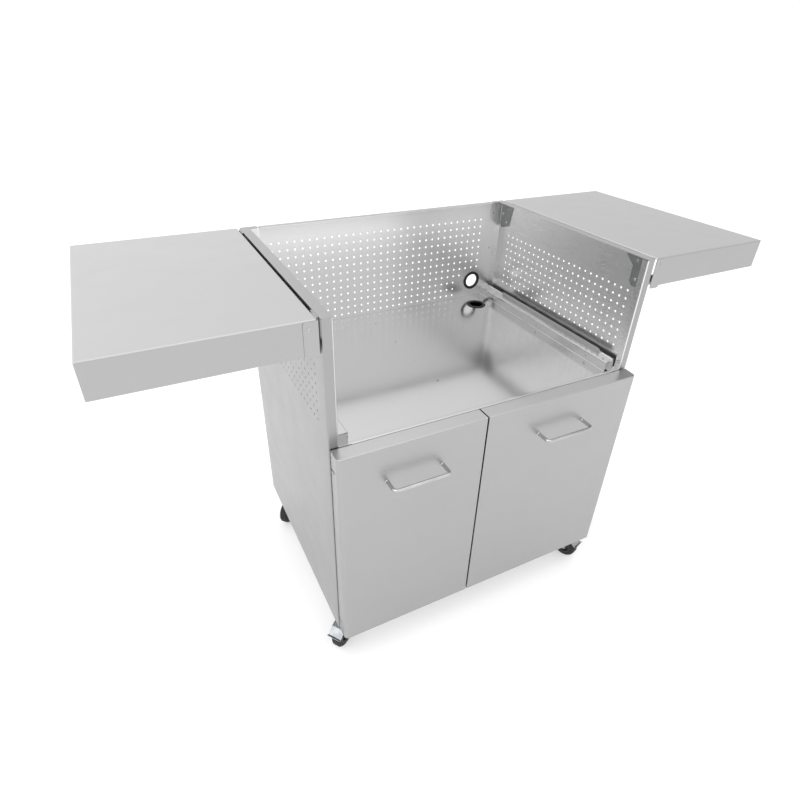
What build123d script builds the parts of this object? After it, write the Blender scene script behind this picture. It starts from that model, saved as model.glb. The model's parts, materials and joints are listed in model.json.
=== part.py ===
from build123d import *
import os
from math import hypot

# Freestanding stainless griddle cart: an open well on a two-door cabinet, two
# fold-down side shelves and four swivel casters.  Millimetres, +Z up.  The doors
# face -Y.  The origin is on the floor, under the middle of the overall box.

# ---- overall sizes ----
BODY_WIDTH = 800.0          # across the outer faces of the side panels
BODY_DEPTH = 589.0          # front post face to rear flange face
WORK_HEIGHT = 948.0         # floor to the top edge of the side panels
CABINET_CLEARANCE = 100.0   # floor to the underside of the cabinet
WELL_DEPTH = 283.0          # top edge of the side panels to the top of the doors

# ---- sheet metal ----
SHEET = 1.2
BEND = 2.4                  # outside radius of a fold
FIT = 0.2                   # gap between a piece and what it slides into
RUNNING = 0.05              # radial clearance of a pin that turns in a hole

# ---- side panels ----
POST_WIDTH = 22.0           # front post flange and top flange
POST_RETURN = 17.0
REAR_FLANGE = 42.0
REAR_TAB_DEPTH = 16.0

# ---- perforations ----
PITCH = 21.0
HOLE_RADIUS = 2.75
BACK_HOLE_MARGIN = 74.0     # side panel face to the first column, at least
BACK_HOLE_DROP = 50.0
SIDE_HOLE_MARGIN = 53.0
SIDE_HOLE_DROP = 94.0
SIDE_HOLE_FOOT = 37.0       # plain strip above the door line, at least
PLAIN_CORNER_RISE = 36.0    # top of the plain corner, above the back grommet's centre
PLAIN_CORNER_SLOPE = 60.0   # where the plain corner's slanting edge starts

# ---- back panels ----
BACK_TOP_FLANGE = 18.0
RELIEF_END = 28.0
RELIEF_INSET = 46.0
RELIEF_WIDTH = 1.0

# ---- well tray ----
FLOOR_DROP = 9.0            # door line down to the tray floor
TRAY_INSET = 50.0           # side panel face to the tray's upturned side
TRAY_LIP_RISE = 16.0        # door line up to the side lips
LIP_MARGIN = 20.0           # post face to the front end of a side lip
TRAY_FRONT = 10.0           # post face to the front upturn
TRAY_APRON = 25.0
TRAY_REAR_DROP = 18.0
STOP_INSET = 24.0           # side panel face to the griddle stop
STOP_HEIGHT = 9.0
STOP_START = 70.0
STOP_END_MARGIN = 89.0
STOP_CHAMFER = 5.0
STOP_FOOT = 7.0
LIP_INSET = STOP_INSET + SHEET + FIT
RAIL_INSET = 14.0           # side panel face to the rail's outer wall
RAIL_DROP = 40.0
RAIL_FOOT = 22.0
RAIL_MARGIN = 28.0          # post face to the front end of a rail
HEADER_HEIGHT = 36.0
HEADER_LEG = 20.0

# ---- grommets ----
GROMMET_BORE = 20.0         # radius
GROMMET_FLANGE = 29.0       # radius
GROMMET_NECK = 24.0         # radius
GROMMET_LIP = 2.2
BACK_GROMMET_INSET = 89.0   # from the right side panel
BACK_GROMMET_DROP = 241.0
FLOOR_GROMMET_INSET = 112.0
FLOOR_GROMMET_REAR = 75.0   # from the rear flange face

# ---- cabinet ----
DIVIDER_INSET = 331.0       # left side panel face to the divider's web
DIVIDER_FLANGE = 20.0
DIVIDER_FRONT = 25.0
CABINET_FLOOR_EDGE = 25.0
RIVET_HEAD = 3.2            # radius
RIVET_HEAD_HEIGHT = 1.0
RIVET_SHANK = 1.6           # radius

# ---- doors ----
DOOR_SPLIT = 356.0          # left side panel face to the middle of the centre gap
DOOR_STANDOFF = 40.0        # post face to door face
DOOR_GAP = 2.5              # post face to the back of the door
CENTRE_GAP = 3.5
DOOR_SIDE_INSET = 3.0
DOOR_OVERHANG = 3.0         # how far the doors hang below the cabinet
DOOR_EDGE_RADIUS = 11.0
HINGE_FORWARD = 14.0        # post face to the pin axis
HINGE_INBOARD = 6.0         # door's outer side to the pin axis
HINGE_OFFSET = 45.0         # door end to the hinge plate
HINGE_PLATE = 3.0
HINGE_PLATE_WIDTH = 10.0
HINGE_PIN = 3.0             # radius
HINGE_SLOT_GAP = 0.6
HINGE_SWING_SHARE = 0.85    # depth of the slot in front of the pin, in plate widths
HINGE_FOOT = 14.0           # half the height of a plate's foot behind the post
PIVOT_WEB = 8.0             # steel beside the slot in a pivot block
LINER_RIB = 20.0            # half the height of the liner's rib
LINER_RIB_DEPTH = 10.0
LINER_RIB_MARGIN = 40.0
PIVOT_BLOCK = 11.0          # half the height of a pivot block
CATCH_WIDTH = 30.0
CATCH_HEIGHT = 14.0
CATCH_OFFSET = 32.0         # centre gap to the middle of a catch
CATCH_GAP = 0.5
STRIKE = 1.5

# ---- handles ----
HANDLE_RADIUS = 4.0
HANDLE_SPAN = 134.0         # between leg centres
HANDLE_REACH = 35.0         # door face to the bar's axis
HANDLE_BEND = 10.0
HANDLE_DROP = 91.0          # top of the door to the handle
HANDLE_FOOT = 5.0           # radius of the leg's collar
HANDLE_FOOT_HEIGHT = 1.5
SCREW_RADIUS = 2.5
SCREW_DEPTH = 12.0
SCREW_HEAD = 4.5
SCREW_HEAD_HEIGHT = 2.5

# ---- shelves ----
SHELF_REACH = 376.0         # side panel face to the shelf's outer face
SHELF_GAP = 6.0
SHELF_LIP = 67.6
SHELF_INSET = 0.3           # shelf end to the body's front and rear planes
SHELF_BEND = 3.0
HINGE_BACK = 22.0           # side panel face to the fold axis
HINGE_DROP = 57.0           # top edge to the fold axis
END_PLATE_OUTER = 33.0      # side panel face to the plate's far edge
END_PLATE_INNER = 5.0
END_PLATE_TOP = 2.0
END_PLATE_DROP = 72.5
END_PLATE_THICKNESS = 1.2
END_PLATE_RADIUS = 6.0
END_SCREW_BACK = 21.0
END_SCREW_DROP = 17.0
BRACKET_LEG = 4.0
BRACKET_REACH = 45.0
BRACKET_START = 12.0
BRACKET_TOP = 1.0
BRACKET_DROP = 72.0
NOTCH_GAP = 1.0             # end of a bracket to the end of its notch in the shelf
EAR_START = 13.5
EAR_THICKNESS = 3.0
EAR_RADIUS = 12.0
PIVOT_RADIUS = 4.0
PIVOT_NUT = 7.0
PIVOT_NUT_HEIGHT = 4.0
STIFFENER_WIDTH = 40.0
STIFFENER_HEIGHT = 15.0
STIFFENER_MARGIN = 12.0
BACKING = 2.0

# ---- casters ----
CASTER_INSET_X = 50.0
CASTER_INSET_Y = 45.0
CASTER_PLATE = 3.0
CASTER_PLATE_X = 56.0
CASTER_PLATE_Y = 70.0
CASTER_BOLT_X = 40.0
CASTER_BOLT_Y = 54.0
RACE_RADIUS = 21.0
KINGPIN_RADIUS = 6.0
KINGPIN_HEAD = 9.0
CROWN_TOP = 87.0            # above the floor
CROWN = 3.0
CROWN_GAP = 0.3
WHEEL_RADIUS = 37.5
WHEEL_WIDTH = 25.0
HUB_RADIUS = 24.0
TRAIL = 37.0
LEG_INNER = 14.0
LEG = 2.2
AXLE_RADIUS = 4.0
AXLE_HEAD = 7.0
PEDAL_EAR_GAP = 0.4
PEDAL_EAR = 2.0
PEDAL_PIVOT = (24.0, 78.5)  # along the trail, above the floor
PEDAL_PIN = 3.0
PEDAL = 1.6                 # thickness of the pedal's strip
CROWN_REACH = TRAIL - 5     # swivel axis to the crown's edge over the wheel
LEG_END = 11.0              # radius of a leg round the axle
AXLE_HEAD_HEIGHT = 3.0
BOSS_RADIUS = 10.0
BOSS_REACH = 1.0            # the hub's boss beyond the tyre's side
DISH = 5.0                  # depth of the hub's dish
RIM = 4.0
TREAD_RADIUS = 4.0
PEDAL_BOSS = 5.0            # radius of a pedal ear round its pin
# fork leg: along the trail and above the floor, from the crown round the axle and back
LEG_OUTLINE = [(-TRAIL / 2, CROWN_TOP), (CROWN_REACH, CROWN_TOP), (TRAIL - 4, CROWN_TOP - 15),
               (TRAIL + 10.5, WHEEL_RADIUS + 4), (TRAIL, WHEEL_RADIUS - 8), (TRAIL - 10, WHEEL_RADIUS - 4),
               (-TRAIL / 2, CROWN_TOP - 8)]
# pedal strip and ear, measured from the pedal's pivot
PEDAL_PATH = [(56.5, -14), (51, -17), (34, -2.5), (11, 5)]
PEDAL_EAR_OUTLINE = [(-5, 2), (11, 5), (22, 1), (20, -2), (1, -5)]

# ---- places worked out from the sizes ----
LEFT = -BODY_WIDTH / 2
RIGHT = BODY_WIDTH / 2
FRONT_REACH = DOOR_STANDOFF + HANDLE_REACH + HANDLE_RADIUS
REAR_REACH = END_PLATE_THICKNESS - SHELF_INSET + RIVET_HEAD_HEIGHT
FRONT = (FRONT_REACH - BODY_DEPTH - REAR_REACH) / 2
BACK = FRONT + BODY_DEPTH
TOP = WORK_HEIGHT
BASE = CABINET_CLEARANCE
DOOR_TOP = TOP - WELL_DEPTH
DOOR_BOTTOM = BASE - DOOR_OVERHANG
TRAY_FLOOR = DOOR_TOP - FLOOR_DROP
TRAY_LIP = DOOR_TOP + TRAY_LIP_RISE
BACK_SHEET = BACK - SHEET               # rear face of the back panels
BACK_FACE = BACK_SHEET - SHEET          # front face of the back panels
SPLIT_X = LEFT + DOOR_SPLIT
DIVIDER_X = LEFT + DIVIDER_INSET
FOLD_X = LEFT - HINGE_BACK
FOLD_Z = TOP - HINGE_DROP
DOOR_BACK = FRONT - DOOR_GAP
DOOR_FACE = FRONT - DOOR_STANDOFF
HINGE_X = LEFT + DOOR_SIDE_INSET + HINGE_INBOARD
HINGE_Y = FRONT - HINGE_FORWARD
HINGE_LEVELS = (DOOR_BOTTOM + HINGE_OFFSET, DOOR_TOP - HINGE_OFFSET)
HANDLE_Z = DOOR_TOP - HANDLE_DROP
LEFT_DOOR = (LEFT + DOOR_SIDE_INSET, SPLIT_X - CENTRE_GAP / 2)
RIGHT_DOOR = (SPLIT_X + CENTRE_GAP / 2, RIGHT - DOOR_SIDE_INSET)
BACK_GROMMET = (RIGHT - BACK_GROMMET_INSET, TOP - BACK_GROMMET_DROP)
FLOOR_GROMMET = (RIGHT - FLOOR_GROMMET_INSET, BACK - FLOOR_GROMMET_REAR)

TRAY_RIVETS = [FRONT + 90.0, (FRONT + BACK) / 2, BACK - 82.0]
TRAY_RIVET_Z = (TRAY_FLOOR + TRAY_LIP) / 2
DIVIDER_RIVET_X = DIVIDER_X + DIVIDER_FLANGE / 2
DIVIDER_RIVETS = [FRONT + 155.0, FRONT + 274.0, FRONT + 388.0, FRONT + 518.0]
WING_RIVET_X = LEFT + (POST_WIDTH + REAR_FLANGE) / 2
WING_RIVETS = [TOP - 34.0, TOP - WELL_DEPTH / 2, DOOR_TOP + 40.0, BASE + 60.0, (BASE + DOOR_TOP) / 2]

# corners in plan: name, left or right, front or rear, trail direction, brake
CASTERS = [
    ("front_left", -1, -1, 215.0, True),
    ("front_right", 1, -1, 288.0, True),
    ("rear_left", -1, 1, 225.0, False),
    ("rear_right", 1, 1, 240.0, False),
]

# ---- small geometry helpers ----


def block(x0, x1, y0, y1, z0, z1):
    """Box between two corners."""
    centre = ((x0 + x1) / 2, (y0 + y1) / 2, (z0 + z1) / 2)
    return Pos(*centre) * Box(x1 - x0, y1 - y0, z1 - z0)


def along_x(face, x0, x1):
    """Extrude a YZ section from x0 to x1."""
    return extrude(Plane.YZ.offset(x0) * face, amount=x1 - x0)


def along_y(face, y0, y1):
    """Extrude an XZ section from y0 to y1."""
    return extrude(Plane.XZ.offset(-y0) * face, amount=y0 - y1)


def along_z(face, z0, z1):
    """Extrude an XY section from z0 to z1."""
    return extrude(Plane.XY.offset(z0) * face, amount=z1 - z0)


def rod_x(x0, x1, y, z, radius):
    """Cylinder along X."""
    return Pos((x0 + x1) / 2, y, z) * Rot(0, 90, 0) * Cylinder(radius, abs(x1 - x0))


def rod_y(x, y0, y1, z, radius):
    """Cylinder along Y."""
    return Pos(x, (y0 + y1) / 2, z) * Rot(90, 0, 0) * Cylinder(radius, abs(y1 - y0))


def rod_z(x, y, z0, z1, radius):
    """Cylinder along Z."""
    return Pos(x, y, (z0 + z1) / 2) * Cylinder(radius, abs(z1 - z0))


def other_side(piece):
    """The right-hand twin of a left-hand piece."""
    return mirror(piece, about=Plane.YZ)


def direction(a, b):
    """Unit vector from a to b in a section."""
    length = hypot(b[0] - a[0], b[1] - a[1])
    return ((b[0] - a[0]) / length, (b[1] - a[1]) / length)


def folded(points, bends=None, thickness=SHEET):
    """Section of folded sheet: one face runs through points, the metal is on its left."""
    steps = [direction(a, b) for a, b in zip(points, points[1:])]
    normals = [(-step[1], step[0]) for step in steps]
    bends = bends or [BEND] * (len(points) - 2)
    first = (points[0][0] + thickness * normals[0][0], points[0][1] + thickness * normals[0][1])
    last = (points[-1][0] + thickness * normals[-1][0], points[-1][1] + thickness * normals[-1][1])
    inner = [first]
    face_radii = []
    inner_radii = []
    for corner, bend, a, b in zip(points[1:-1], bends, normals, normals[1:]):
        mitre = thickness / (1 + a[0] * b[0] + a[1] * b[1])
        inner.append((corner[0] + mitre * (a[0] + b[0]), corner[1] + mitre * (a[1] + b[1])))
        turns_left = a[0] * b[1] - a[1] * b[0] > 0
        face_radii.append(bend if turns_left else bend - thickness)
        inner_radii.append(bend - thickness if turns_left else bend)
    inner.append(last)
    face = FilletPolyline(*points, radius=face_radii)
    back = FilletPolyline(*reversed(inner), radius=list(reversed(inner_radii)))
    ends = [Line(points[-1], last), Line(first, points[0])]
    return make_face([*face.edges(), ends[0].edge(), *back.edges(), ends[1].edge()])


def polygon(points):
    """Filled outline through points."""
    return make_face(Polyline(*points, close=True).edges())


def rivet(axis, tip, x, y, z):
    """Rivet with its head at (x, y, z); its shank runs along axis by tip, which may be negative."""
    head = -RIVET_HEAD_HEIGHT if tip > 0 else RIVET_HEAD_HEIGHT
    if axis == "x":
        return rod_x(x, x + tip, y, z, RIVET_SHANK) + rod_x(x + head, x, y, z, RIVET_HEAD)
    if axis == "y":
        return rod_y(x, y, y + tip, z, RIVET_SHANK) + rod_y(x, y + head, y, z, RIVET_HEAD)
    return rod_z(x, y, z, z + tip, RIVET_SHANK) + rod_z(x, y, z + head, z, RIVET_HEAD)


# ---- where the rivets go, shared by the rivets and by their holes ----
RIVET_HOLE = RIVET_SHANK + RUNNING


def tray_rivet_holes():
    """Holes through the tray's sides and the rails behind them."""
    holes = []
    for y in TRAY_RIVETS:
        for wall in (LEFT + TRAY_INSET, RIGHT - TRAY_INSET):
            holes.append(rod_x(wall - 4 * SHEET, wall + 4 * SHEET, y, TRAY_RIVET_Z, RIVET_HOLE))
    return holes


def divider_rivet_holes():
    """Holes through the tray floor and the divider's top flange."""
    return [rod_z(DIVIDER_RIVET_X, y, TRAY_FLOOR - 4 * SHEET, TRAY_FLOOR + SHEET, RIVET_HOLE)
            for y in DIVIDER_RIVETS]


def wing_rivet_holes():
    """Holes through the back panels' edges and the side panels' rear flanges."""
    holes = []
    for z in WING_RIVETS:
        for x in (WING_RIVET_X, -WING_RIVET_X):
            holes.append(rod_y(x, BACK - 4 * SHEET, BACK + SHEET, z, RIVET_HOLE))
    return holes


def body_rivets():
    """Every rivet of the cabinet, one separate solid each."""
    rivets = []
    for y in TRAY_RIVETS:
        rivets.append(rivet("x", -2 * SHEET, LEFT + TRAY_INSET, y, TRAY_RIVET_Z))
        rivets.append(rivet("x", 2 * SHEET, RIGHT - TRAY_INSET, y, TRAY_RIVET_Z))
    for y in DIVIDER_RIVETS:
        rivets.append(rivet("z", -2 * SHEET, DIVIDER_RIVET_X, y, TRAY_FLOOR))
    for z in WING_RIVETS:
        for x in (WING_RIVET_X, -WING_RIVET_X):
            rivets.append(rivet("y", 2 * SHEET, x, BACK_FACE, z))
    return rivets


# ---- body panels ----


def backing_outline(rear):
    """YZ outline of the plate inside a side panel, behind a shelf bracket."""
    if rear:
        return [(BACK - inset, TOP - drop) for inset, drop in REAR_BACKING]
    return [(FRONT + inset, TOP - drop) for inset, drop in FRONT_BACKING]


# corners of the backing plates and their bolts: distance from the end plane, drop from the top
FRONT_BACKING = [(3, BEND + FIT), (82, BEND + FIT), (82, 9), (55, 32), (55, 70), (46, 79), (3, 79)]
REAR_BACKING = [(61, BEND + FIT), (6, BEND + FIT), (6, 70), (14, 78), (49, 66)]
FRONT_BOLTS = [(43.7, 16.7), (38.5, 61.4)]
REAR_BOLTS = [(16.0, 36.0), (36.0, 58.0), (39.0, 18.0)]


def backing_bolt_places():
    """Height and depth of every backing-plate bolt."""
    places = [(FRONT + inset, TOP - drop) for inset, drop in FRONT_BOLTS]
    return places + [(BACK - inset, TOP - drop) for inset, drop in REAR_BOLTS]


def side_panel():
    """Left side panel: front post, wall, rear flange and top flange from one sheet."""
    wall = folded([(LEFT + REAR_FLANGE, BACK), (LEFT, BACK), (LEFT, FRONT),
                   (LEFT + POST_WIDTH, FRONT), (LEFT + POST_WIDTH, FRONT + POST_RETURN)])
    panel = along_z(wall, BASE, TOP - BEND)
    top = folded([(LEFT + POST_WIDTH, TOP), (LEFT, TOP), (LEFT, TOP - 3 * BEND)])
    panel += along_y(top, FRONT, BACK)
    panel += block(LEFT + BEND, LEFT + POST_WIDTH, FRONT, FRONT + SHEET, TOP - 2 * BEND, TOP)
    panel += block(LEFT + BEND, LEFT + REAR_FLANGE, BACK - SHEET, BACK, TOP - 2 * BEND, TOP)
    panel += block(LEFT + BEND, LEFT + REAR_FLANGE, BACK - REAR_TAB_DEPTH, BACK, TOP - SHEET, TOP)
    columns = int((BODY_DEPTH - 2 * SIDE_HOLE_MARGIN) // PITCH) + 1
    rows = int((WELL_DEPTH - SIDE_HOLE_DROP - SIDE_HOLE_FOOT) // PITCH) + 1
    middle = (FRONT + BACK) / 2
    holes = wing_rivet_holes()
    for column in range(columns):
        for row in range(rows):
            y = middle + PITCH * (column - (columns - 1) / 2)
            z = TOP - SIDE_HOLE_DROP - PITCH * row
            holes.append(rod_x(LEFT - SHEET, LEFT + 2 * SHEET, y, z, HOLE_RADIUS))
    for y, z in backing_bolt_places():
        holes.append(rod_x(LEFT - SHEET, LEFT + 2 * SHEET, y, z, SCREW_RADIUS + RUNNING))
    for level in HINGE_LEVELS:
        reach = HINGE_PLATE_WIDTH / 2 + FIT
        height = HINGE_PLATE / 2 + FIT
        holes.append(block(HINGE_X - reach, HINGE_X + reach, FRONT - SHEET, FRONT + 2 * SHEET,
                           level - height, level + height))
    return panel - holes


def back_hole_is_kept(x, z):
    """The perforations leave a plain corner round the grommet."""
    dx = x - BACK_GROMMET[0]
    dz = z - BACK_GROMMET[1]
    beside = dx > -3 * PITCH + 1
    below = dz < PLAIN_CORNER_RISE
    under_slope = dz - dx < PLAIN_CORNER_SLOPE
    return not (beside and below and under_slope)


def back_panel():
    """Perforated upper back panel with a folded top flange and two low wings."""
    foot = TRAY_FLOOR - SHEET
    upright = folded([(BACK_SHEET, foot), (BACK_SHEET, TOP), (BACK_SHEET - BACK_TOP_FLANGE, TOP)])
    panel = along_x(upright, LEFT + RELIEF_INSET + RELIEF_WIDTH, RIGHT - RELIEF_INSET - RELIEF_WIDTH)
    wing_top = TOP - SHEET - FIT
    panel += block(LEFT + POST_WIDTH, RIGHT - POST_WIDTH, BACK_FACE, BACK_SHEET, foot, TOP - RELIEF_END)
    panel += block(LEFT + POST_WIDTH, LEFT + RELIEF_INSET, BACK_FACE, BACK_SHEET, foot, wing_top)
    panel += block(RIGHT - RELIEF_INSET, RIGHT - POST_WIDTH, BACK_FACE, BACK_SHEET, foot, wing_top)
    columns = int((BODY_WIDTH - 2 * BACK_HOLE_MARGIN) // PITCH) + 1
    rows = int((WELL_DEPTH - BACK_HOLE_DROP) // PITCH) + 1
    holes = wing_rivet_holes()
    for column in range(columns):
        for row in range(rows):
            x = PITCH * (column - (columns - 1) / 2)
            z = TOP - BACK_HOLE_DROP - PITCH * row
            if back_hole_is_kept(x, z):
                holes.append(rod_y(x, BACK - 4 * SHEET, BACK, z, HOLE_RADIUS))
    holes.append(rod_y(BACK_GROMMET[0], BACK - 4 * SHEET, BACK, BACK_GROMMET[1], GROMMET_NECK + RUNNING))
    return panel - holes


def lower_back_panel():
    """Plain sheet that closes the cabinet behind."""
    top = TRAY_FLOOR - 2 * SHEET
    panel = block(LEFT + POST_WIDTH, RIGHT - POST_WIDTH, BACK_FACE, BACK_SHEET, BASE, top)
    return panel - wing_rivet_holes()


def well_tray():
    """Floor of the griddle well with upturned sides, closed side lips and a front apron."""
    rear_face = BACK_FACE - FIT
    across = folded([(RIGHT - LIP_INSET, TRAY_LIP), (RIGHT - TRAY_INSET, TRAY_LIP),
                     (RIGHT - TRAY_INSET, TRAY_FLOOR), (LEFT + TRAY_INSET, TRAY_FLOOR),
                     (LEFT + TRAY_INSET, TRAY_LIP), (LEFT + LIP_INSET, TRAY_LIP)])
    tray = along_y(across, FRONT + LIP_MARGIN, rear_face)
    for start in (FRONT + LIP_MARGIN, rear_face - SHEET):
        closure = block(LEFT + LIP_INSET, LEFT + TRAY_INSET, start, start + SHEET, TRAY_FLOOR, TRAY_LIP)
        tray += closure + other_side(closure)
    middle = (FRONT + BACK) / 2
    nose = folded([(middle, TRAY_FLOOR), (FRONT + TRAY_FRONT, TRAY_FLOOR),
                   (FRONT + TRAY_FRONT, DOOR_TOP), (FRONT, DOOR_TOP), (FRONT, DOOR_TOP - TRAY_APRON)])
    tail = folded([(rear_face, TRAY_FLOOR - TRAY_REAR_DROP), (rear_face, TRAY_FLOOR), (middle, TRAY_FLOOR)])
    tray += along_x(nose, LEFT + TRAY_INSET, RIGHT - TRAY_INSET)
    tray += along_x(tail, LEFT + TRAY_INSET, RIGHT - TRAY_INSET)
    grommet = rod_z(FLOOR_GROMMET[0], FLOOR_GROMMET[1], TRAY_FLOOR - 2 * SHEET, TRAY_FLOOR + SHEET,
                    GROMMET_NECK + RUNNING)
    return tray - [grommet] - tray_rivet_holes() - divider_rivet_holes()


def front_header():
    """Channel across the front between the posts, under the tray's apron."""
    top = DOOR_TOP - SHEET
    face = FRONT + SHEET
    section = folded([(FRONT + TRAY_FRONT - BEND - FIT, top), (face, top), (face, top - HEADER_HEIGHT),
                      (face + HEADER_LEG, top - HEADER_HEIGHT)])
    reach = BODY_WIDTH / 2 - POST_WIDTH - FIT
    return along_x(section, -reach, reach)


def well_rail():
    """Left rail: carries the tray's lip and reaches out to the side panel."""
    inner = LEFT + TRAY_INSET - SHEET
    outer = LEFT + RAIL_INSET
    top = TRAY_LIP - SHEET
    low = TRAY_LIP - RAIL_DROP
    section = folded([(inner, TRAY_FLOOR), (inner, top), (outer, top), (outer, low),
                      (LEFT + SHEET, low), (LEFT + SHEET, low - RAIL_FOOT)])
    rail = along_y(section, FRONT + RAIL_MARGIN, BACK_FACE - SHEET - 2 * FIT)
    return rail - tray_rivet_holes()


def griddle_stop():
    """Left stop strip: a low upright edge beside the tray's lip that centres the griddle."""
    face = LEFT + STOP_INSET
    foot = TRAY_LIP - SHEET
    start = FRONT + STOP_START
    end = BACK - STOP_END_MARGIN
    top = TRAY_LIP + STOP_HEIGHT
    upright = polygon([(start, foot), (end, foot), (end, top - STOP_CHAMFER),
                       (end - STOP_CHAMFER, top), (start + STOP_CHAMFER, top), (start, top - STOP_CHAMFER)])
    strip = along_x(upright, face, face + SHEET)
    return strip + block(face - STOP_FOOT, face, start, end, foot, TRAY_LIP)


def cabinet_floor():
    """Bottom pan with upturned edges; the casters bolt under it."""
    side = LEFT + SHEET + FIT
    post = LEFT + POST_WIDTH + FIT
    behind_post = FRONT + POST_RETURN + FIT
    rear = BACK_FACE - FIT
    pan = block(side, -side, behind_post, rear, BASE, BASE + SHEET)
    pan += block(post, -post, FRONT + SHEET, behind_post, BASE, BASE + SHEET)
    pan += block(post, -post, FRONT + SHEET, FRONT + 2 * SHEET, BASE, BASE + CABINET_FLOOR_EDGE / 2)
    pan += block(post, -post, rear - SHEET, rear, BASE, BASE + CABINET_FLOOR_EDGE)
    pan += block(side, side + SHEET, behind_post, rear, BASE, BASE + CABINET_FLOOR_EDGE)
    pan += block(-side - SHEET, -side, behind_post, rear, BASE, BASE + CABINET_FLOOR_EDGE)
    return pan - caster_bolt_holes(BASE - SHEET, BASE + 2 * SHEET)


def centre_divider():
    """C-shaped partition between the two compartments, under the tray."""
    low = BASE + SHEET
    top = TRAY_FLOOR - SHEET
    flange = DIVIDER_X + DIVIDER_FLANGE
    section = folded([(flange, top), (DIVIDER_X, top), (DIVIDER_X, low), (flange, low)])
    divider = along_y(section, FRONT + DIVIDER_FRONT, BACK_FACE - CABINET_FLOOR_EDGE)
    return divider - divider_rivet_holes()


def grommet():
    """Rubber ring round +Z: a face lip, a neck through one sheet and a rear lip."""
    face = Pos(0, 0, GROMMET_LIP / 2) * Cylinder(GROMMET_FLANGE, GROMMET_LIP)
    neck = Pos(0, 0, -SHEET / 2) * Cylinder(GROMMET_NECK, SHEET)
    rear = Pos(0, 0, -SHEET - GROMMET_LIP / 2) * Cylinder(GROMMET_FLANGE - 2, GROMMET_LIP)
    face = fillet(face.edges().filter_by(GeomType.CIRCLE).group_by(Axis.Z)[-1], GROMMET_LIP / 2)
    return face + neck + rear - Cylinder(GROMMET_BORE, 20)


def grommet_back():
    """Grommet in the back panel; its face lip is inside the well."""
    return Pos(BACK_GROMMET[0], BACK_FACE, BACK_GROMMET[1]) * Rot(90, 0, 0) * grommet()


def grommet_floor():
    """Grommet in the tray floor; its face lip is inside the well."""
    return Pos(FLOOR_GROMMET[0], FLOOR_GROMMET[1], TRAY_FLOOR) * grommet()


# ---- shelf fixings on the body ----


def backing_plates():
    """Four plates inside the side panels."""
    plates = []
    for rear in (False, True):
        plate = along_x(polygon(backing_outline(rear)), LEFT + SHEET, LEFT + SHEET + BACKING)
        plate -= [rod_x(LEFT, LEFT + SHEET + 2 * BACKING, y, z, SCREW_RADIUS + RUNNING)
                  for y, z in backing_bolt_places()]
        plates += [plate, other_side(plate)]
    return plates


def backing_bolts():
    """Bolts through the backing plates and the side panels."""
    bolts = []
    for y, z in backing_bolt_places():
        inside = LEFT + SHEET + BACKING
        bolt = rod_x(LEFT, inside, y, z, SCREW_RADIUS)
        bolt += rod_x(inside, inside + SCREW_HEAD_HEIGHT, y, z, SCREW_HEAD)
        bolts += [bolt, other_side(bolt)]
    return bolts


def shelf_brackets():
    """Four brackets on the side panels, each with an ear round the fold axis."""
    leg = block(LEFT - BRACKET_LEG, LEFT, FRONT + BRACKET_START, FRONT + BRACKET_REACH,
                TOP - BRACKET_DROP, TOP - BRACKET_TOP)
    ear_y = (FRONT + EAR_START, FRONT + EAR_START + EAR_THICKNESS)
    ear = rod_y(FOLD_X, ear_y[0], ear_y[1], FOLD_Z, EAR_RADIUS)
    ear += block(FOLD_X, LEFT - BRACKET_LEG / 2, ear_y[0], ear_y[1], FOLD_Z - EAR_RADIUS, FOLD_Z + EAR_RADIUS)
    bracket = leg + ear - rod_y(FOLD_X, ear_y[0] - 1, ear_y[1] + 1, FOLD_Z, PIVOT_RADIUS + RUNNING)
    middle = Plane.XZ.offset(-(FRONT + BACK) / 2)
    rear = mirror(bracket, about=middle)
    return [bracket, rear, other_side(bracket), other_side(rear)]


# ---- shelves ----


def to_rear(piece):
    """The rear twin of a piece at the front end of a shelf."""
    return mirror(piece, about=Plane.XZ.offset(-(FRONT + BACK) / 2))


def shelf():
    """Left shelf: a pan open below, with its inner lip cut back at the hinge brackets."""
    x0 = LEFT - SHELF_REACH
    x1 = LEFT - SHELF_GAP
    y0 = FRONT + SHELF_INSET
    y1 = BACK - SHELF_INSET
    low = TOP - SHELF_LIP
    skin = block(x0, x1, y0, y1, low, TOP)
    skin = fillet([edge for group in skin.edges().group_by(Axis.Z)[1:] for edge in group], SHELF_BEND)
    hollow = block(x0 + SHEET, x1 - SHEET, y0 + SHEET, y1 - SHEET, low - 1, TOP - SHEET)
    hollow = fillet([edge for group in hollow.edges().group_by(Axis.Z)[1:] for edge in group],
                    SHELF_BEND - SHEET)
    pan = skin - hollow
    notch = BRACKET_REACH + NOTCH_GAP
    inside = x1 - SHELF_BEND - SHEET
    for start, end in ((y0 + SHEET + FIT, FRONT + notch), (BACK - notch, y1 - SHEET - FIT)):
        pan -= block(inside, x1 + 1, start, end, low - 1, TOP - SHELF_BEND)
    return pan


def shelf_stiffeners():
    """Two hat channels under the left shelf's top."""
    top = TOP - SHEET
    half = STIFFENER_WIDTH / 2
    depth = STIFFENER_HEIGHT
    outer = LEFT - SHELF_REACH + STIFFENER_MARGIN
    inner = LEFT - SHELF_GAP - STIFFENER_MARGIN
    pieces = []
    for share in (1, 2):
        y = FRONT + BODY_DEPTH * share / 3
        section = folded([(y - half - depth, top - SHEET), (y - half, top - SHEET), (y - half, top - depth),
                          (y + half, top - depth), (y + half, top - SHEET), (y + half + depth, top - SHEET)])
        pieces.append(along_x(section, outer, inner))
    return pieces


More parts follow.
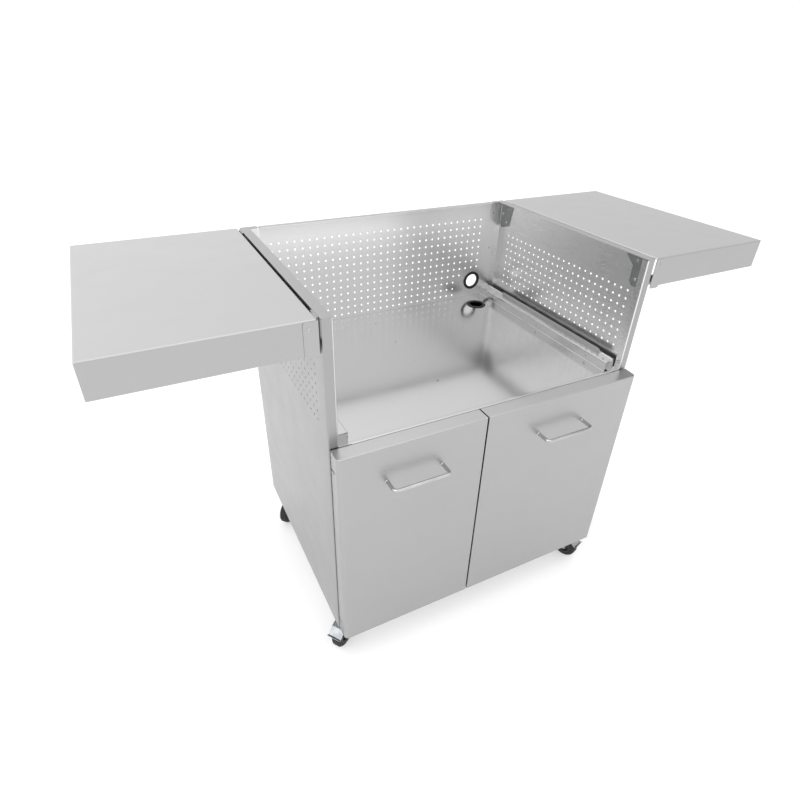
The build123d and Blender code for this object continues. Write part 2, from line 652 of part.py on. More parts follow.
def end_plate():
    """Plate on the front lip beside the body, with rounded outer corners."""
    x0 = LEFT - END_PLATE_OUTER
    x1 = LEFT - END_PLATE_INNER
    low = TOP - END_PLATE_DROP
    high = TOP - END_PLATE_TOP
    y1 = FRONT + SHELF_INSET
    plate = block(x0, x1, y1 - END_PLATE_THICKNESS, y1, low, high)
    corners = plate.edges().filter_by(Axis.Y)
    inner_top = corners.sort_by(Axis.X)[-2:].sort_by(Axis.Z)[-1]
    plate = fillet([edge for edge in corners if edge.center() != inner_top.center()], END_PLATE_RADIUS)
    return plate - end_screw_hole()


def end_screw_hole():
    """Hole through the end plate and the lip behind it."""
    return rod_y(LEFT - END_SCREW_BACK, FRONT - 3, FRONT + 3, TOP - END_SCREW_DROP, SCREW_RADIUS + RUNNING)


def end_screw():
    """Screw that holds the end plate to the lip."""
    outside = FRONT + SHELF_INSET - END_PLATE_THICKNESS
    inside = FRONT + SHELF_INSET + SHEET
    x = LEFT - END_SCREW_BACK
    z = TOP - END_SCREW_DROP
    screw = rod_y(x, outside, inside, z, SCREW_RADIUS)
    return screw + rod_y(x, outside - RIVET_HEAD_HEIGHT, outside, z, SCREW_HEAD)


def shelf_pivot():
    """Stud on the inside of the lip that turns in the bracket's ear, with its nut."""
    start = FRONT + SHELF_INSET + SHEET
    ear_end = FRONT + EAR_START + EAR_THICKNESS
    stud = rod_y(FOLD_X, start, ear_end + FIT + PIVOT_NUT_HEIGHT + 1, FOLD_Z, PIVOT_RADIUS)
    collar = rod_y(FOLD_X, start, FRONT + EAR_START - FIT, FOLD_Z, PIVOT_NUT)
    nut = Plane.XZ.offset(-ear_end - FIT) * Pos(FOLD_X, FOLD_Z) * RegularPolygon(PIVOT_NUT, 6)
    return stud + collar + extrude(nut, amount=-PIVOT_NUT_HEIGHT)


# ---- doors ----


def rounded_outline(x0, x1, left_radius, right_radius, inset=0.0):
    """Plan outline of a door, its face edges rounded."""
    face = DOOR_FACE + inset
    points = [(x0 + inset, DOOR_BACK), (x0 + inset, face), (x1 - inset, face), (x1 - inset, DOOR_BACK)]
    line = FilletPolyline(*points, radius=[left_radius - inset, right_radius - inset])
    return make_face([*line.edges(), Line(points[-1], points[0]).edge()])


def hinge_slots(door):
    """Space that the hinge plates need in a left-hand door as it swings."""
    x0 = door[0] - 1
    x1 = HINGE_X + HINGE_PLATE_WIDTH / 2 + HINGE_SLOT_GAP
    front = HINGE_Y - HINGE_PLATE_WIDTH * HINGE_SWING_SHARE
    height = HINGE_PLATE / 2 + HINGE_SLOT_GAP
    return [block(x0, x1, front, DOOR_BACK + 1, level - height, level + height) for level in HINGE_LEVELS]


def door_shell(door):
    """Outer skin of a door hinged at its left: a pan with one well-rounded edge."""
    x0, x1 = door
    outer = rounded_outline(x0, x1, DOOR_EDGE_RADIUS, BEND)
    inner = rounded_outline(x0, x1, DOOR_EDGE_RADIUS, BEND, SHEET)
    shell = along_z(outer, DOOR_BOTTOM, DOOR_TOP)
    shell -= along_z(inner, DOOR_BOTTOM + SHEET, DOOR_TOP - SHEET)
    holes = hinge_slots(door)
    middle = (x0 + x1) / 2
    for side in (-1, 1):
        x = middle + side * HANDLE_SPAN / 2
        holes.append(rod_y(x, DOOR_FACE - 1, DOOR_FACE + 2 * SHEET, HANDLE_Z, SCREW_RADIUS + RUNNING))
    return shell - holes


def door_liner(door):
    """Flat sheet that closes the back of a door, with a stiffening rib."""
    x0 = door[0] + SHEET + FIT
    x1 = door[1] - SHEET - FIT
    z0 = DOOR_BOTTOM + SHEET + FIT
    z1 = DOOR_TOP - SHEET - FIT
    liner = block(x0, x1, DOOR_BACK - SHEET, DOOR_BACK, z0, z1)
    middle = (z0 + z1) / 2
    crest = DOOR_BACK - LINER_RIB_DEPTH
    rib = folded([(DOOR_BACK - SHEET, middle + LINER_RIB), (crest, middle + LINER_RIB),
                  (crest, middle - LINER_RIB), (DOOR_BACK - SHEET, middle - LINER_RIB)])
    liner += along_x(rib, x0 + LINER_RIB_MARGIN, x1 - LINER_RIB_MARGIN)
    return liner - hinge_slots(door)


def pivot_blocks(door):
    """Two steel blocks in a left-hand door; each holds a pin above and below its plate."""
    x0 = door[0] + SHEET
    web = HINGE_X + HINGE_PLATE_WIDTH / 2 + 1
    blocks = []
    for level in HINGE_LEVELS:
        piece = block(x0, web + PIVOT_WEB, HINGE_Y - HINGE_PLATE_WIDTH, DOOR_BACK - SHEET,
                      level - PIVOT_BLOCK, level + PIVOT_BLOCK)
        piece -= hinge_slots(door)
        blocks.append(piece - rod_z(HINGE_X, HINGE_Y, level - 20, level + 20, HINGE_PIN + RUNNING))
    return blocks


def pivot_pins():
    """Two pins, one through each block and plate."""
    return [rod_z(HINGE_X, HINGE_Y, level - PIVOT_BLOCK, level + PIVOT_BLOCK, HINGE_PIN)
            for level in HINGE_LEVELS]


def hinge_plates():
    """Four plates from the posts into the doors."""
    half = HINGE_PLATE_WIDTH / 2
    plates = []
    for level in HINGE_LEVELS:
        z0 = level - HINGE_PLATE / 2
        z1 = level + HINGE_PLATE / 2
        plate = rod_z(HINGE_X, HINGE_Y, z0, z1, half)
        plate += block(HINGE_X - half, HINGE_X + half, HINGE_Y, FRONT + 2 * SHEET, z0, z1)
        plate += block(LEFT + BEND, LEFT + POST_WIDTH - BEND, FRONT + SHEET, FRONT + SHEET + BACKING,
                       level - HINGE_FOOT, level + HINGE_FOOT)
        plate -= rod_z(HINGE_X, HINGE_Y, z0 - 1, z1 + 1, HINGE_PIN + RUNNING)
        plates += [plate, other_side(plate)]
    return plates


def handle(door):
    """Wire pull: two legs and a bar in one bent rod, with collars at the feet."""
    middle = (door[0] + door[1]) / 2
    half = HANDLE_SPAN / 2
    foot = DOOR_FACE
    front = DOOR_FACE - HANDLE_REACH
    path = FilletPolyline((middle - half, foot), (middle - half, front), (middle + half, front),
                          (middle + half, foot), radius=HANDLE_BEND)
    path = Plane.XY.offset(HANDLE_Z) * path
    section = Plane(origin=(middle - half, foot, HANDLE_Z), z_dir=(0, -1, 0)) * Circle(HANDLE_RADIUS)
    rod = sweep(section, path=path)
    for side in (-1, 1):
        x = middle + side * half
        rod += rod_y(x, foot - HANDLE_FOOT_HEIGHT, foot, HANDLE_Z, HANDLE_FOOT)
        rod -= rod_y(x, foot - SCREW_DEPTH, foot + 1, HANDLE_Z, SCREW_RADIUS + RUNNING)
    return rod


def handle_screws(door):
    """Two screws from inside the door into the handle's legs."""
    middle = (door[0] + door[1]) / 2
    inside = DOOR_FACE + SHEET
    screws = []
    for side in (-1, 1):
        x = middle + side * HANDLE_SPAN / 2
        screw = rod_y(x, DOOR_FACE - SCREW_DEPTH + 1, inside, HANDLE_Z, SCREW_RADIUS)
        screws.append(screw + rod_y(x, inside, inside + SCREW_HEAD_HEIGHT, HANDLE_Z, SCREW_HEAD))
    return screws


def catch_centres():
    """Middle of each magnet catch, beside the gap between the doors."""
    return (SPLIT_X - CATCH_OFFSET, SPLIT_X + CATCH_OFFSET)


def magnet_catches():
    """Two catches under the header."""
    top = DOOR_TOP - SHEET - HEADER_HEIGHT
    half = CATCH_WIDTH / 2
    return [block(x - half, x + half, FRONT - CATCH_GAP, FRONT + HEADER_LEG, top - CATCH_HEIGHT, top)
            for x in catch_centres()]


def strike(x):
    """Steel plate on the back of a door, facing a catch."""
    top = DOOR_TOP - SHEET - HEADER_HEIGHT
    half = CATCH_WIDTH / 2
    return block(x - half, x + half, DOOR_BACK, DOOR_BACK + STRIKE, top - CATCH_HEIGHT, top)


# ---- casters ----


def caster_place(side_x, side_y):
    """Swivel axis of a caster."""
    x = side_x * (BODY_WIDTH / 2 - CASTER_INSET_X)
    y = (FRONT + CASTER_INSET_Y) if side_y < 0 else (BACK - CASTER_INSET_Y)
    return x, y


def caster_bolt_holes(z0, z1):
    """Four holes over each caster."""
    holes = []
    for _, side_x, side_y, _, _ in CASTERS:
        x, y = caster_place(side_x, side_y)
        for dx in (-CASTER_BOLT_X / 2, CASTER_BOLT_X / 2):
            for dy in (-CASTER_BOLT_Y / 2, CASTER_BOLT_Y / 2):
                holes.append(rod_z(x + dx, y + dy, z0, z1, SCREW_RADIUS + RUNNING))
    return holes


def caster_plate():
    """Top plate with its race and king pin, and the four bolts that hold it."""
    top = BASE
    under = top - CASTER_PLATE
    race_low = CROWN_TOP + CROWN_GAP
    half_x = CASTER_PLATE_X / 2
    half_y = CASTER_PLATE_Y / 2
    plate = block(-half_x, half_x, -half_y, half_y, under, top)
    plate = fillet(plate.edges().filter_by(Axis.Z), BEND)
    plate += rod_z(0, 0, race_low, under, RACE_RADIUS)
    head_top = CROWN_TOP - CROWN - CROWN_GAP
    plate += rod_z(0, 0, head_top - CROWN, under, KINGPIN_RADIUS)
    plate += rod_z(0, 0, head_top - CROWN, head_top, KINGPIN_HEAD)
    for dx in (-CASTER_BOLT_X / 2, CASTER_BOLT_X / 2):
        for dy in (-CASTER_BOLT_Y / 2, CASTER_BOLT_Y / 2):
            plate += rod_z(dx, dy, under, top + SHEET, SCREW_RADIUS)
            plate += rod_z(dx, dy, top + SHEET, top + SHEET + SCREW_HEAD_HEIGHT, SCREW_HEAD)
    return plate


def caster_fork():
    """Crown and two legs, with the axle bolt as a second solid; trails along +X."""
    crown = rod_z(0, 0, CROWN_TOP - CROWN, CROWN_TOP, RACE_RADIUS)
    width = 2 * (LEG_INNER + LEG)
    crown += block(-TRAIL / 2, CROWN_REACH, -width / 2, width / 2, CROWN_TOP - CROWN, CROWN_TOP)
    outline = polygon(LEG_OUTLINE)
    fork = crown
    for side in (-1, 1):
        inner = side * LEG_INNER
        outer = side * (LEG_INNER + LEG)
        low, high = min(inner, outer), max(inner, outer)
        leg = along_y(outline, low, high)
        leg += rod_y(TRAIL, low, high, WHEEL_RADIUS, LEG_END)
        fork += leg
    fork -= rod_z(0, 0, CROWN_TOP - 2 * CROWN, CROWN_TOP + 1, KINGPIN_RADIUS + RUNNING)
    fork -= rod_y(TRAIL, -width, width, WHEEL_RADIUS, AXLE_RADIUS + RUNNING)
    fork -= rod_y(PEDAL_PIVOT[0], -width, width, PEDAL_PIVOT[1], PEDAL_PIN + RUNNING)
    end = LEG_INNER + LEG
    axle = rod_y(TRAIL, -end, end, WHEEL_RADIUS, AXLE_RADIUS)
    axle += rod_y(TRAIL, -end - AXLE_HEAD_HEIGHT, -end, WHEEL_RADIUS, AXLE_HEAD)
    axle += rod_y(TRAIL, end, end + AXLE_HEAD_HEIGHT, WHEEL_RADIUS, AXLE_HEAD)
    return [fork, axle]


def caster_wheel():
    """Tyre and hub as two solids, at the end of the trail."""
    half = WHEEL_WIDTH / 2
    tyre = rod_y(TRAIL, -half, half, WHEEL_RADIUS, WHEEL_RADIUS)
    tyre = fillet(tyre.edges().filter_by(GeomType.CIRCLE), TREAD_RADIUS)
    tyre -= rod_y(TRAIL, -half - 1, half + 1, WHEEL_RADIUS, HUB_RADIUS)
    hub = rod_y(TRAIL, -half, half, WHEEL_RADIUS, HUB_RADIUS)
    for side in (-1, 1):
        outer = side * half
        inner = side * (half - DISH)
        dish = rod_y(TRAIL, min(inner, outer), max(inner, outer), WHEEL_RADIUS, HUB_RADIUS - RIM)
        hub -= dish - rod_y(TRAIL, -half, half, WHEEL_RADIUS, BOSS_RADIUS)
    hub += rod_y(TRAIL, -half - BOSS_REACH, half + BOSS_REACH, WHEEL_RADIUS, BOSS_RADIUS)
    hub -= rod_y(TRAIL, -half - 2 * BOSS_REACH, half + 2 * BOSS_REACH, WHEEL_RADIUS, AXLE_RADIUS + RUNNING)
    return [tyre, hub]


def brake_pedal():
    """Foot pedal over the wheel: a bent strip, two ears and the pivot pin."""
    ear_inner = LEG_INNER + LEG + PEDAL_EAR_GAP
    ear_outer = ear_inner + PEDAL_EAR
    px, pz = PEDAL_PIVOT
    path = [(px + along, pz + up) for along, up in PEDAL_PATH]
    strip = folded(path, bends=[BEND, 3 * BEND], thickness=PEDAL)
    pedal = along_y(strip, -ear_outer, ear_outer)
    ear = polygon([(px + along, pz + up) for along, up in PEDAL_EAR_OUTLINE])
    for side in (-1, 1):
        low = min(side * ear_inner, side * ear_outer)
        pedal += along_y(ear, low, low + PEDAL_EAR)
        pedal += rod_y(px, low, low + PEDAL_EAR, pz, PEDAL_BOSS)
    return pedal + rod_y(px, -ear_outer, ear_outer, pz, PEDAL_PIN)


def placed(piece, side_x, side_y, heading):
    """Turn a caster piece to its heading and move it under its corner."""
    x, y = caster_place(side_x, side_y)
    return Pos(x, y, 0) * Rot(0, 0, heading) * piece


# ---- output ----


def save(name, solids):
    """Write one node; a list becomes a group of separate solids."""
    if isinstance(solids, list):
        solids = [Solid(s.wrapped) if isinstance(s, Solid) else s.solids()[0] for s in solids]
        solids = Compound(children=solids)
    export_step(solids, f"parts/{name}.step")


def save_body():
    """Cabinet, well and the shelf fixings that stay on the body."""
    panel = side_panel()
    save("side_panel_left", panel)
    save("side_panel_right", other_side(panel))
    save("back_panel", back_panel())
    save("lower_back_panel", lower_back_panel())
    save("well_tray", well_tray())
    save("front_header", front_header())
    rail = well_rail()
    save("well_rail_left", rail)
    save("well_rail_right", other_side(rail))
    stop = griddle_stop()
    save("griddle_stops", [stop, other_side(stop)])
    save("cabinet_floor", cabinet_floor())
    save("centre_divider", centre_divider())
    save("grommet_back", grommet_back())
    save("grommet_floor", grommet_floor())
    save("body_rivets", body_rivets())
    save("backing_plates", backing_plates())
    save("backing_bolts", backing_bolts())
    save("shelf_brackets", shelf_brackets())
    save("door_hinge_plates", hinge_plates())
    save("magnet_catches", magnet_catches())


def save_shelves():
    """Both shelves with their fittings; the right one is the left one's twin."""
    pan = shelf() - end_screw_hole() - to_rear(end_screw_hole())
    plates = [end_plate(), to_rear(end_plate())]
    screws = [end_screw(), to_rear(end_screw())]
    pivots = [shelf_pivot(), to_rear(shelf_pivot())]
    stiffeners = shelf_stiffeners()
    save("shelf_left", pan)
    save("shelf_right", other_side(pan))
    for name, pieces in (("shelf_stiffeners", stiffeners), ("shelf_end_plates", plates),
                         ("shelf_end_screws", screws), ("shelf_pivots", pivots)):
        save(f"{name}_left", pieces)
        save(f"{name}_right", [other_side(piece) for piece in pieces])


def save_doors():
    """Both doors; the right one is modelled hinged at its left and then turned over."""
    mirrored_right = (-RIGHT_DOOR[1], -RIGHT_DOOR[0])
    for name, door, turned, catch in (("left", LEFT_DOOR, False, catch_centres()[0]),
                                      ("right", mirrored_right, True, -catch_centres()[1])):
        pieces = {
            "door": [door_shell(door)],
            "door_liner": [door_liner(door)],
            "handle": [handle(door)],
            "handle_screws": handle_screws(door),
            "pivot_blocks": pivot_blocks(door),
            "pivot_pins": pivot_pins(),
            "strike_plate": [strike(catch)],
        }
        for piece, solids in pieces.items():
            solids = [other_side(solid) for solid in solids] if turned else solids
            save(f"{piece}_{name}", solids if len(solids) > 1 else solids[0])


def save_casters():
    """Four casters, the front two with brakes."""
    fork = caster_fork()
    wheel = caster_wheel()
    for name, side_x, side_y, heading, braked in CASTERS:
        x, y = caster_place(side_x, side_y)
        save(f"caster_plate_{name}", Pos(x, y, 0) * caster_plate())
        save(f"caster_fork_{name}", [placed(piece, side_x, side_y, heading) for piece in fork])
        save(f"caster_wheel_{name}", [placed(piece, side_x, side_y, heading) for piece in wheel])
        if braked:
            save(f"brake_pedal_{name}", placed(brake_pedal(), side_x, side_y, heading))


def main():
    os.makedirs("parts", exist_ok=True)
    save_body()
    save_shelves()
    save_doors()
    save_casters()


if __name__ == "__main__":
    main()
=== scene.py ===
"""Looks of a freestanding stainless griddle cart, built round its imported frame.

Sheet metal, perforated panels, doors, shelves, pulls, grommets, casters and fixings each have a
class of their own.  All lengths are metres, in the same frame as the CAD model.
"""

from __future__ import annotations

import json
import logging
from contextlib import contextmanager
from dataclasses import dataclass, field
from enum import Enum
from functools import cache
from math import atan2, cos, exp, pi, radians, sin, tan
from typing import Any, Callable, Iterable, Iterator, Sequence

import bmesh
import bpy
from bmesh.types import BMesh
from bpy.types import Material, Mesh, Node, NodeSocket, NodeTree, Object
from mathutils import Matrix, Vector


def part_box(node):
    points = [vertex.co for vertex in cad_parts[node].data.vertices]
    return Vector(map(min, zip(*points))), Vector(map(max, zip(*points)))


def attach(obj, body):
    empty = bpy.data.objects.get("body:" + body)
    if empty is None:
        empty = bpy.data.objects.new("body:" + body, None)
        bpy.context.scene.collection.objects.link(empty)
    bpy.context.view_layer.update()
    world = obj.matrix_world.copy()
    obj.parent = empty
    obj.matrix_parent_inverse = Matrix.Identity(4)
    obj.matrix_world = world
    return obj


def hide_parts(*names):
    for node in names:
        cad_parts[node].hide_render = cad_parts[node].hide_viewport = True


LOG = logging.getLogger("griddle_cart")
MM = 0.001
SHEET = 1.2 * MM
FOLD = 2.4 * MM                # outside radius of a fold
FOLD_STEPS = 5
PITCH = 21 * MM                # of the punched holes, both ways
POST = 22 * MM                 # width of the front posts
GAP = 0.2 * MM                 # clearance between neighbouring sheets
OVERLAP = 0.02 * MM            # by which two meshes of one sheet run into each other
SEAM = 0.02 * MM               # points of a seam that are nearer than this are one
CUTTER_REACH = 5 * MM          # by which a cutter stands out of what it cuts
BROKEN_EDGE = 0.35 * MM
FINE_EDGE = 0.2 * MM
NEAR = 1e-6
CAD_MERGE = 2e-6
CAD_ROUNDING = 1e-5
SAME_WAY = 0.999               # least cosine between two directions that count as one
SMOOTH_ANGLE = radians(38)
BEVEL_ANGLE = radians(40)
FLAT_ANGLE = radians(0.5)
WIDE_FACE_RATIO = 4            # a face this much larger than its neighbour isn't shaded into it
UPWARD = 0.7                   # least Z of the normal of a face that looks up

Point2 = tuple[float, float]
Samples = list[tuple[Point2, Point2]]

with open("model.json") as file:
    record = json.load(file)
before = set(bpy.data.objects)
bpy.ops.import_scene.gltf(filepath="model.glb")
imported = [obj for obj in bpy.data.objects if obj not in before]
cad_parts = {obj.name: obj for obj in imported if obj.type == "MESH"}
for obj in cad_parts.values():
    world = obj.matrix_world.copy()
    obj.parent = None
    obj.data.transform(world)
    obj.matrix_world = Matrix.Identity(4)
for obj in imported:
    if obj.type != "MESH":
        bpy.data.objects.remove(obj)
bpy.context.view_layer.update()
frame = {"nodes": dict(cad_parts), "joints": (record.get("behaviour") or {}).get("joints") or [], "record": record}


class Axis(Enum):
    """Direction that a sheet's grain runs in."""

    X = 0
    Y = 1


class Side(Enum):
    """Which side of the cart a piece is on; the value is the sign of X."""

    LEFT = -1
    RIGHT = 1

    @property
    def word(self) -> str:
        """Name used in node names."""
        return self.name.lower()


def mount_place(name: str) -> Vector:
    """Position of one of the record's mounts."""
    return Vector(next(m["pos_m"] for m in frame["record"]["mounts"] if m["name"] == name))


def joint(name: str) -> dict[str, Any]:
    """One joint of the frame."""
    return next(item for item in frame["joints"] if item["name"] == name)


def body_of(node: str) -> str:
    """Body that carries a CAD node."""
    bodies = frame["record"]["behaviour"]["bodies"]
    return next(name for name, nodes in bodies.items() if node in nodes)


# ---------------------------------------------------------------- mesh helpers


@contextmanager
def editing(mesh: Mesh) -> Iterator[BMesh]:
    """Open a mesh for editing and write the result back into it."""
    work = bmesh.new()
    work.from_mesh(mesh)
    yield work
    work.to_mesh(mesh)
    work.free()


def finished(name: str, work: BMesh) -> Mesh:
    """Turn what was edited into a new mesh."""
    mesh = bpy.data.meshes.new(name)
    work.to_mesh(mesh)
    work.free()
    return mesh


def new_object(name: str, data: bpy.types.ID) -> Object:
    """Put a mesh, camera or light in the scene under a name."""
    piece = bpy.data.objects.new(name, data)
    bpy.context.scene.collection.objects.link(piece)
    return piece


def raw_mesh(name: str, points: Iterable[Sequence[float]],
             faces: Iterable[Sequence[int]] = ()) -> Mesh:
    """Make a mesh from vertex and face lists, as they are."""
    mesh = bpy.data.meshes.new(name)
    mesh.from_pydata([tuple(point) for point in points], [], [tuple(face) for face in faces])
    return mesh


def tidy_mesh(mesh: Mesh, outward: bool = True) -> Mesh:
    """Merge doubles, face the surface outwards and smooth it up to the fold angle.

    Args:
        mesh: mesh to clean in place.
        outward: whether to work the normals out again.

    Returns:
        The same mesh.
    """
    with editing(mesh) as work:
        bmesh.ops.remove_doubles(work, verts=work.verts, dist=NEAR)
        if outward:
            bmesh.ops.recalc_face_normals(work, faces=work.faces)
    mesh.shade_smooth()
    mesh.set_sharp_from_angle(angle=SMOOTH_ANGLE)
    return mesh


def from_lists(name: str, points: Iterable[Sequence[float]],
               faces: Iterable[Sequence[int]]) -> Object:
    """Make a clean object from vertex and face lists."""
    return new_object(name, tidy_mesh(raw_mesh(name, points, faces)))


def baked(piece: Object) -> Object:
    """Replace an object's mesh by its evaluated mesh and drop its modifiers."""
    graph = bpy.context.evaluated_depsgraph_get()
    graph.update()
    mesh = bpy.data.meshes.new_from_object(piece.evaluated_get(graph))
    piece.modifiers.clear()
    piece.data = mesh
    mesh.name = piece.name
    tidy_mesh(mesh, outward=False)
    return piece


def evenly_shaded(piece: Object) -> Object:
    """Keep wide flat faces flat where they meet the narrow faces of a rounded edge."""
    with editing(piece.data) as work:
        for face in work.faces:
            face.smooth = True
        for edge in work.edges:
            if len(edge.link_faces) != 2:
                edge.smooth = False
                continue
            turn = edge.calc_face_angle(0)
            areas = sorted(face.calc_area() for face in edge.link_faces)
            uneven = areas[1] > WIDE_FACE_RATIO * areas[0]
            edge.smooth = turn < FLAT_ANGLE or (turn < SMOOTH_ANGLE and not uneven)
    return piece


def mirrored(piece: Object, name: str) -> Object:
    """The twin of a left-hand piece on the right, with its faces turned back outwards."""
    mesh = piece.data.copy()
    mesh.name = name
    mesh.transform(Matrix.Scale(-1, 4, (1, 0, 0)))
    mesh.flip_normals()
    return new_object(name, mesh)


def fold_samples(points: Sequence[Point2]) -> Samples:
    """Sample a folded sheet's section: pairs of points on its two faces.

    Args:
        points: one face of the sheet, corner by corner, with the metal on its left.

    Returns:
        Pairs of face point and back point along the section; a corner that doesn't turn
        gives one pair, and a fold gives FOLD_STEPS + 1.
    """
    path = [Vector(point) for point in points]
    ways = [(b - a).normalized() for a, b in zip(path, path[1:])]
    left = [Vector((-way.y, way.x)) for way in ways]
    samples = [(tuple(path[0]), tuple(path[0] + SHEET * left[0]))]
    for corner, before, after, normal in zip(path[1:-1], ways, ways[1:], left):
        turn = atan2(before.x * after.y - before.y * after.x, before.dot(after))
        if abs(turn) < FLAT_ANGLE:
            samples.append((tuple(corner), tuple(corner + SHEET * normal)))
            continue
        sign = 1 if turn > 0 else -1
        near, far = (FOLD, FOLD - SHEET)[::sign]
        centre = corner - before * near * abs(tan(turn / 2)) + normal * near * sign
        start = atan2(-normal.y * sign, -normal.x * sign)
        for step in range(FOLD_STEPS + 1):
            angle = start + turn * step / FOLD_STEPS
            ray = Vector((cos(angle), sin(angle)))
            samples.append((tuple(centre + ray * near), tuple(centre + ray * far)))
    samples.append((tuple(path[-1]), tuple(path[-1] + SHEET * left[-1])))
    return samples


def sheet_mesh(name: str, samples: Samples, stations: Sequence[float],
               lay: Callable[[float, float, float], Sequence[float]],
               window: Callable[[int, int], bool] = lambda i, j: False) -> Mesh:
    """Carry a folded section along a straight line, leaving an optional window open.

    Args:
        name: name of the mesh.
        samples: the section, as fold_samples gives it.
        stations: places along the line.
        lay: turns section coordinates and a station into a point.
        window: says which cells (along the section, along the line) stay open.

    Returns:
        A mesh that is closed apart from the window.
    """
    work = bmesh.new()
    rows = [[(work.verts.new(lay(*face, station)), work.verts.new(lay(*back, station)))
             for face, back in samples] for station in stations]
    last = len(samples) - 1
    for j, (low, high) in enumerate(zip(rows, rows[1:])):
        for i in range(last):
            if not window(i, j):
                for which in (0, 1):
                    work.faces.new((low[i][which], low[i + 1][which],
                                    high[i + 1][which], high[i][which]))
        for i in (0, last):
            work.faces.new((low[i][0], high[i][0], high[i][1], low[i][1]))
    for row in (rows[0], rows[-1]):
        for i in range(last):
            work.faces.new((row[i][0], row[i + 1][0], row[i + 1][1], row[i][1]))
    bmesh.ops.recalc_face_normals(work, faces=work.faces)
    return finished(name, work)


def join_meshes(name: str, meshes: Iterable[Mesh]) -> Mesh:
    """Put several meshes into one."""
    work = bmesh.new()
    for mesh in meshes:
        work.from_mesh(mesh)
    return finished(name, work)


def box_mesh(name: str, corner: Sequence[float], opposite: Sequence[float]) -> Mesh:
    """A box between any two opposite corners."""
    low, high = [[pick(pair) for pair in zip(corner, opposite)] for pick in (min, max)]
    work = bmesh.new()
    bmesh.ops.create_cube(work, size=1.0)
    for vert in work.verts:
        vert.co = Vector([low[k] if vert.co[k] < 0 else high[k] for k in range(3)])
    bmesh.ops.recalc_face_normals(work, faces=work.faces)
    return finished(name, work)


def cut_away(piece: Object, cutters: Iterable[Mesh]) -> Object:
    """Cut closed shapes out of a closed piece."""
    tools = []
    for index, mesh in enumerate(cutters):
        tool = new_object(f"cutter_{index}", mesh)
        modifier = piece.modifiers.new(f"cut_{index}", "BOOLEAN")
        modifier.operation = "DIFFERENCE"
        modifier.solver = "EXACT"
        modifier.object = tool
        tools.append(tool)
    baked(piece)
    for tool in tools:
        bpy.data.objects.remove(tool)
    return piece


def lathe(name: str, profile: Sequence[Point2], centre: Vector, axis: Vector,
          segments: int = 48) -> Object:
    """Turn a closed profile of (distance along the axis, radius) round an axis.

    Args:
        name: name of the object.
        profile: closed outline, corner by corner.
        centre: point where the distance is 0.
        axis: direction of the axis.
        segments: steps round the turn.

    Returns:
        The turned object.
    """
    turn = axis.normalized().to_track_quat("Z", "Y").to_matrix()
    count = len(profile)
    points, faces = [], []
    for step in range(segments):
        angle = 2 * pi * step / segments
        here, there = step * count, ((step + 1) % segments) * count
        for k, (along, radius) in enumerate(profile):
            ray = Vector((radius * cos(angle), radius * sin(angle), along))
            points.append(centre + turn @ ray)
            after = (k + 1) % count
            faces.append((here + k, here + after, there + after, there + k))
    return from_lists(name, points, faces)


def rounded(corners: Sequence[tuple[float, float, float]], steps: int = 5) -> list[Point2]:
    """Closed outline whose corners are rounded.

    Args:
        corners: x, y and radius of each corner.
        steps: arc steps at a rounded corner.

    Returns:
        The outline's points.
    """
    outline: list[Point2] = []
    for index, (x, y, radius) in enumerate(corners):
        here = Vector((x, y))
        before = (Vector(corners[index - 1][:2]) - here).normalized()
        after = (Vector(corners[(index + 1) % len(corners)][:2]) - here).normalized()
        if radius <= 0:
            outline.append((x, y))
            continue
        start = here + before * radius
        end = here + after * radius
        for step in range(steps + 1):
            t = step / steps
            outline.append(tuple(start * (1 - t) ** 2 + here * (2 * t * (1 - t)) + end * t ** 2))
    return outline


def tube_faces(rings: int, count: int, first: int = 0) -> list[tuple[int, ...]]:
    """Faces of a tube.

    Args:
        rings: number of rings of points.
        count: points in each ring.
        first: index of the first ring's first point.

    Returns:
        Four point indices for each face.
    """
    return [(low + step, low + (step + 1) % count, low + count + (step + 1) % count,
             low + count + step)
            for low in range(first, first + count * (rings - 1), count) for step in range(count)]


def both_halves(half: Sequence[tuple[float, float, float]]) -> list[tuple[float, float, float]]:
    """One half of a symmetrical section, followed by its mirror image."""
    return [*half, *((-x, y, radius) for x, y, radius in reversed(half))]


def opened(node: str) -> BMesh:
    """A CAD node's mesh, open for editing and without doubles."""
    work = bmesh.new()
    work.from_mesh(frame["nodes"][node].data)
    bmesh.ops.remove_doubles(work, verts=work.verts, dist=CAD_MERGE)
    return work


def softened(node: str, width: float = BROKEN_EDGE) -> Object:
    """Copy a CAD node and break its sharp edges, as a deburred part has them.

    Args:
        node: CAD node to copy.
        width: width of the broken edge.

    Returns:
        The new piece.
    """
    work = opened(node)
    bmesh.ops.dissolve_limit(work, angle_limit=FLAT_ANGLE, verts=work.verts, edges=work.edges)
    sharp = [edge for edge in work.edges
             if len(edge.link_faces) == 2 and edge.calc_face_angle(0) > BEVEL_ANGLE]
    bmesh.ops.bevel(work, geom=sharp, offset=width, segments=2, profile=0.5, affect="EDGES",
                    clamp_overlap=True)
    mesh = finished(f"{node}_skin", work)
    mesh.shade_smooth()
    mesh.set_sharp_from_angle(angle=SMOOTH_ANGLE)
    return evenly_shaded(new_object(f"{node}_skin", mesh))


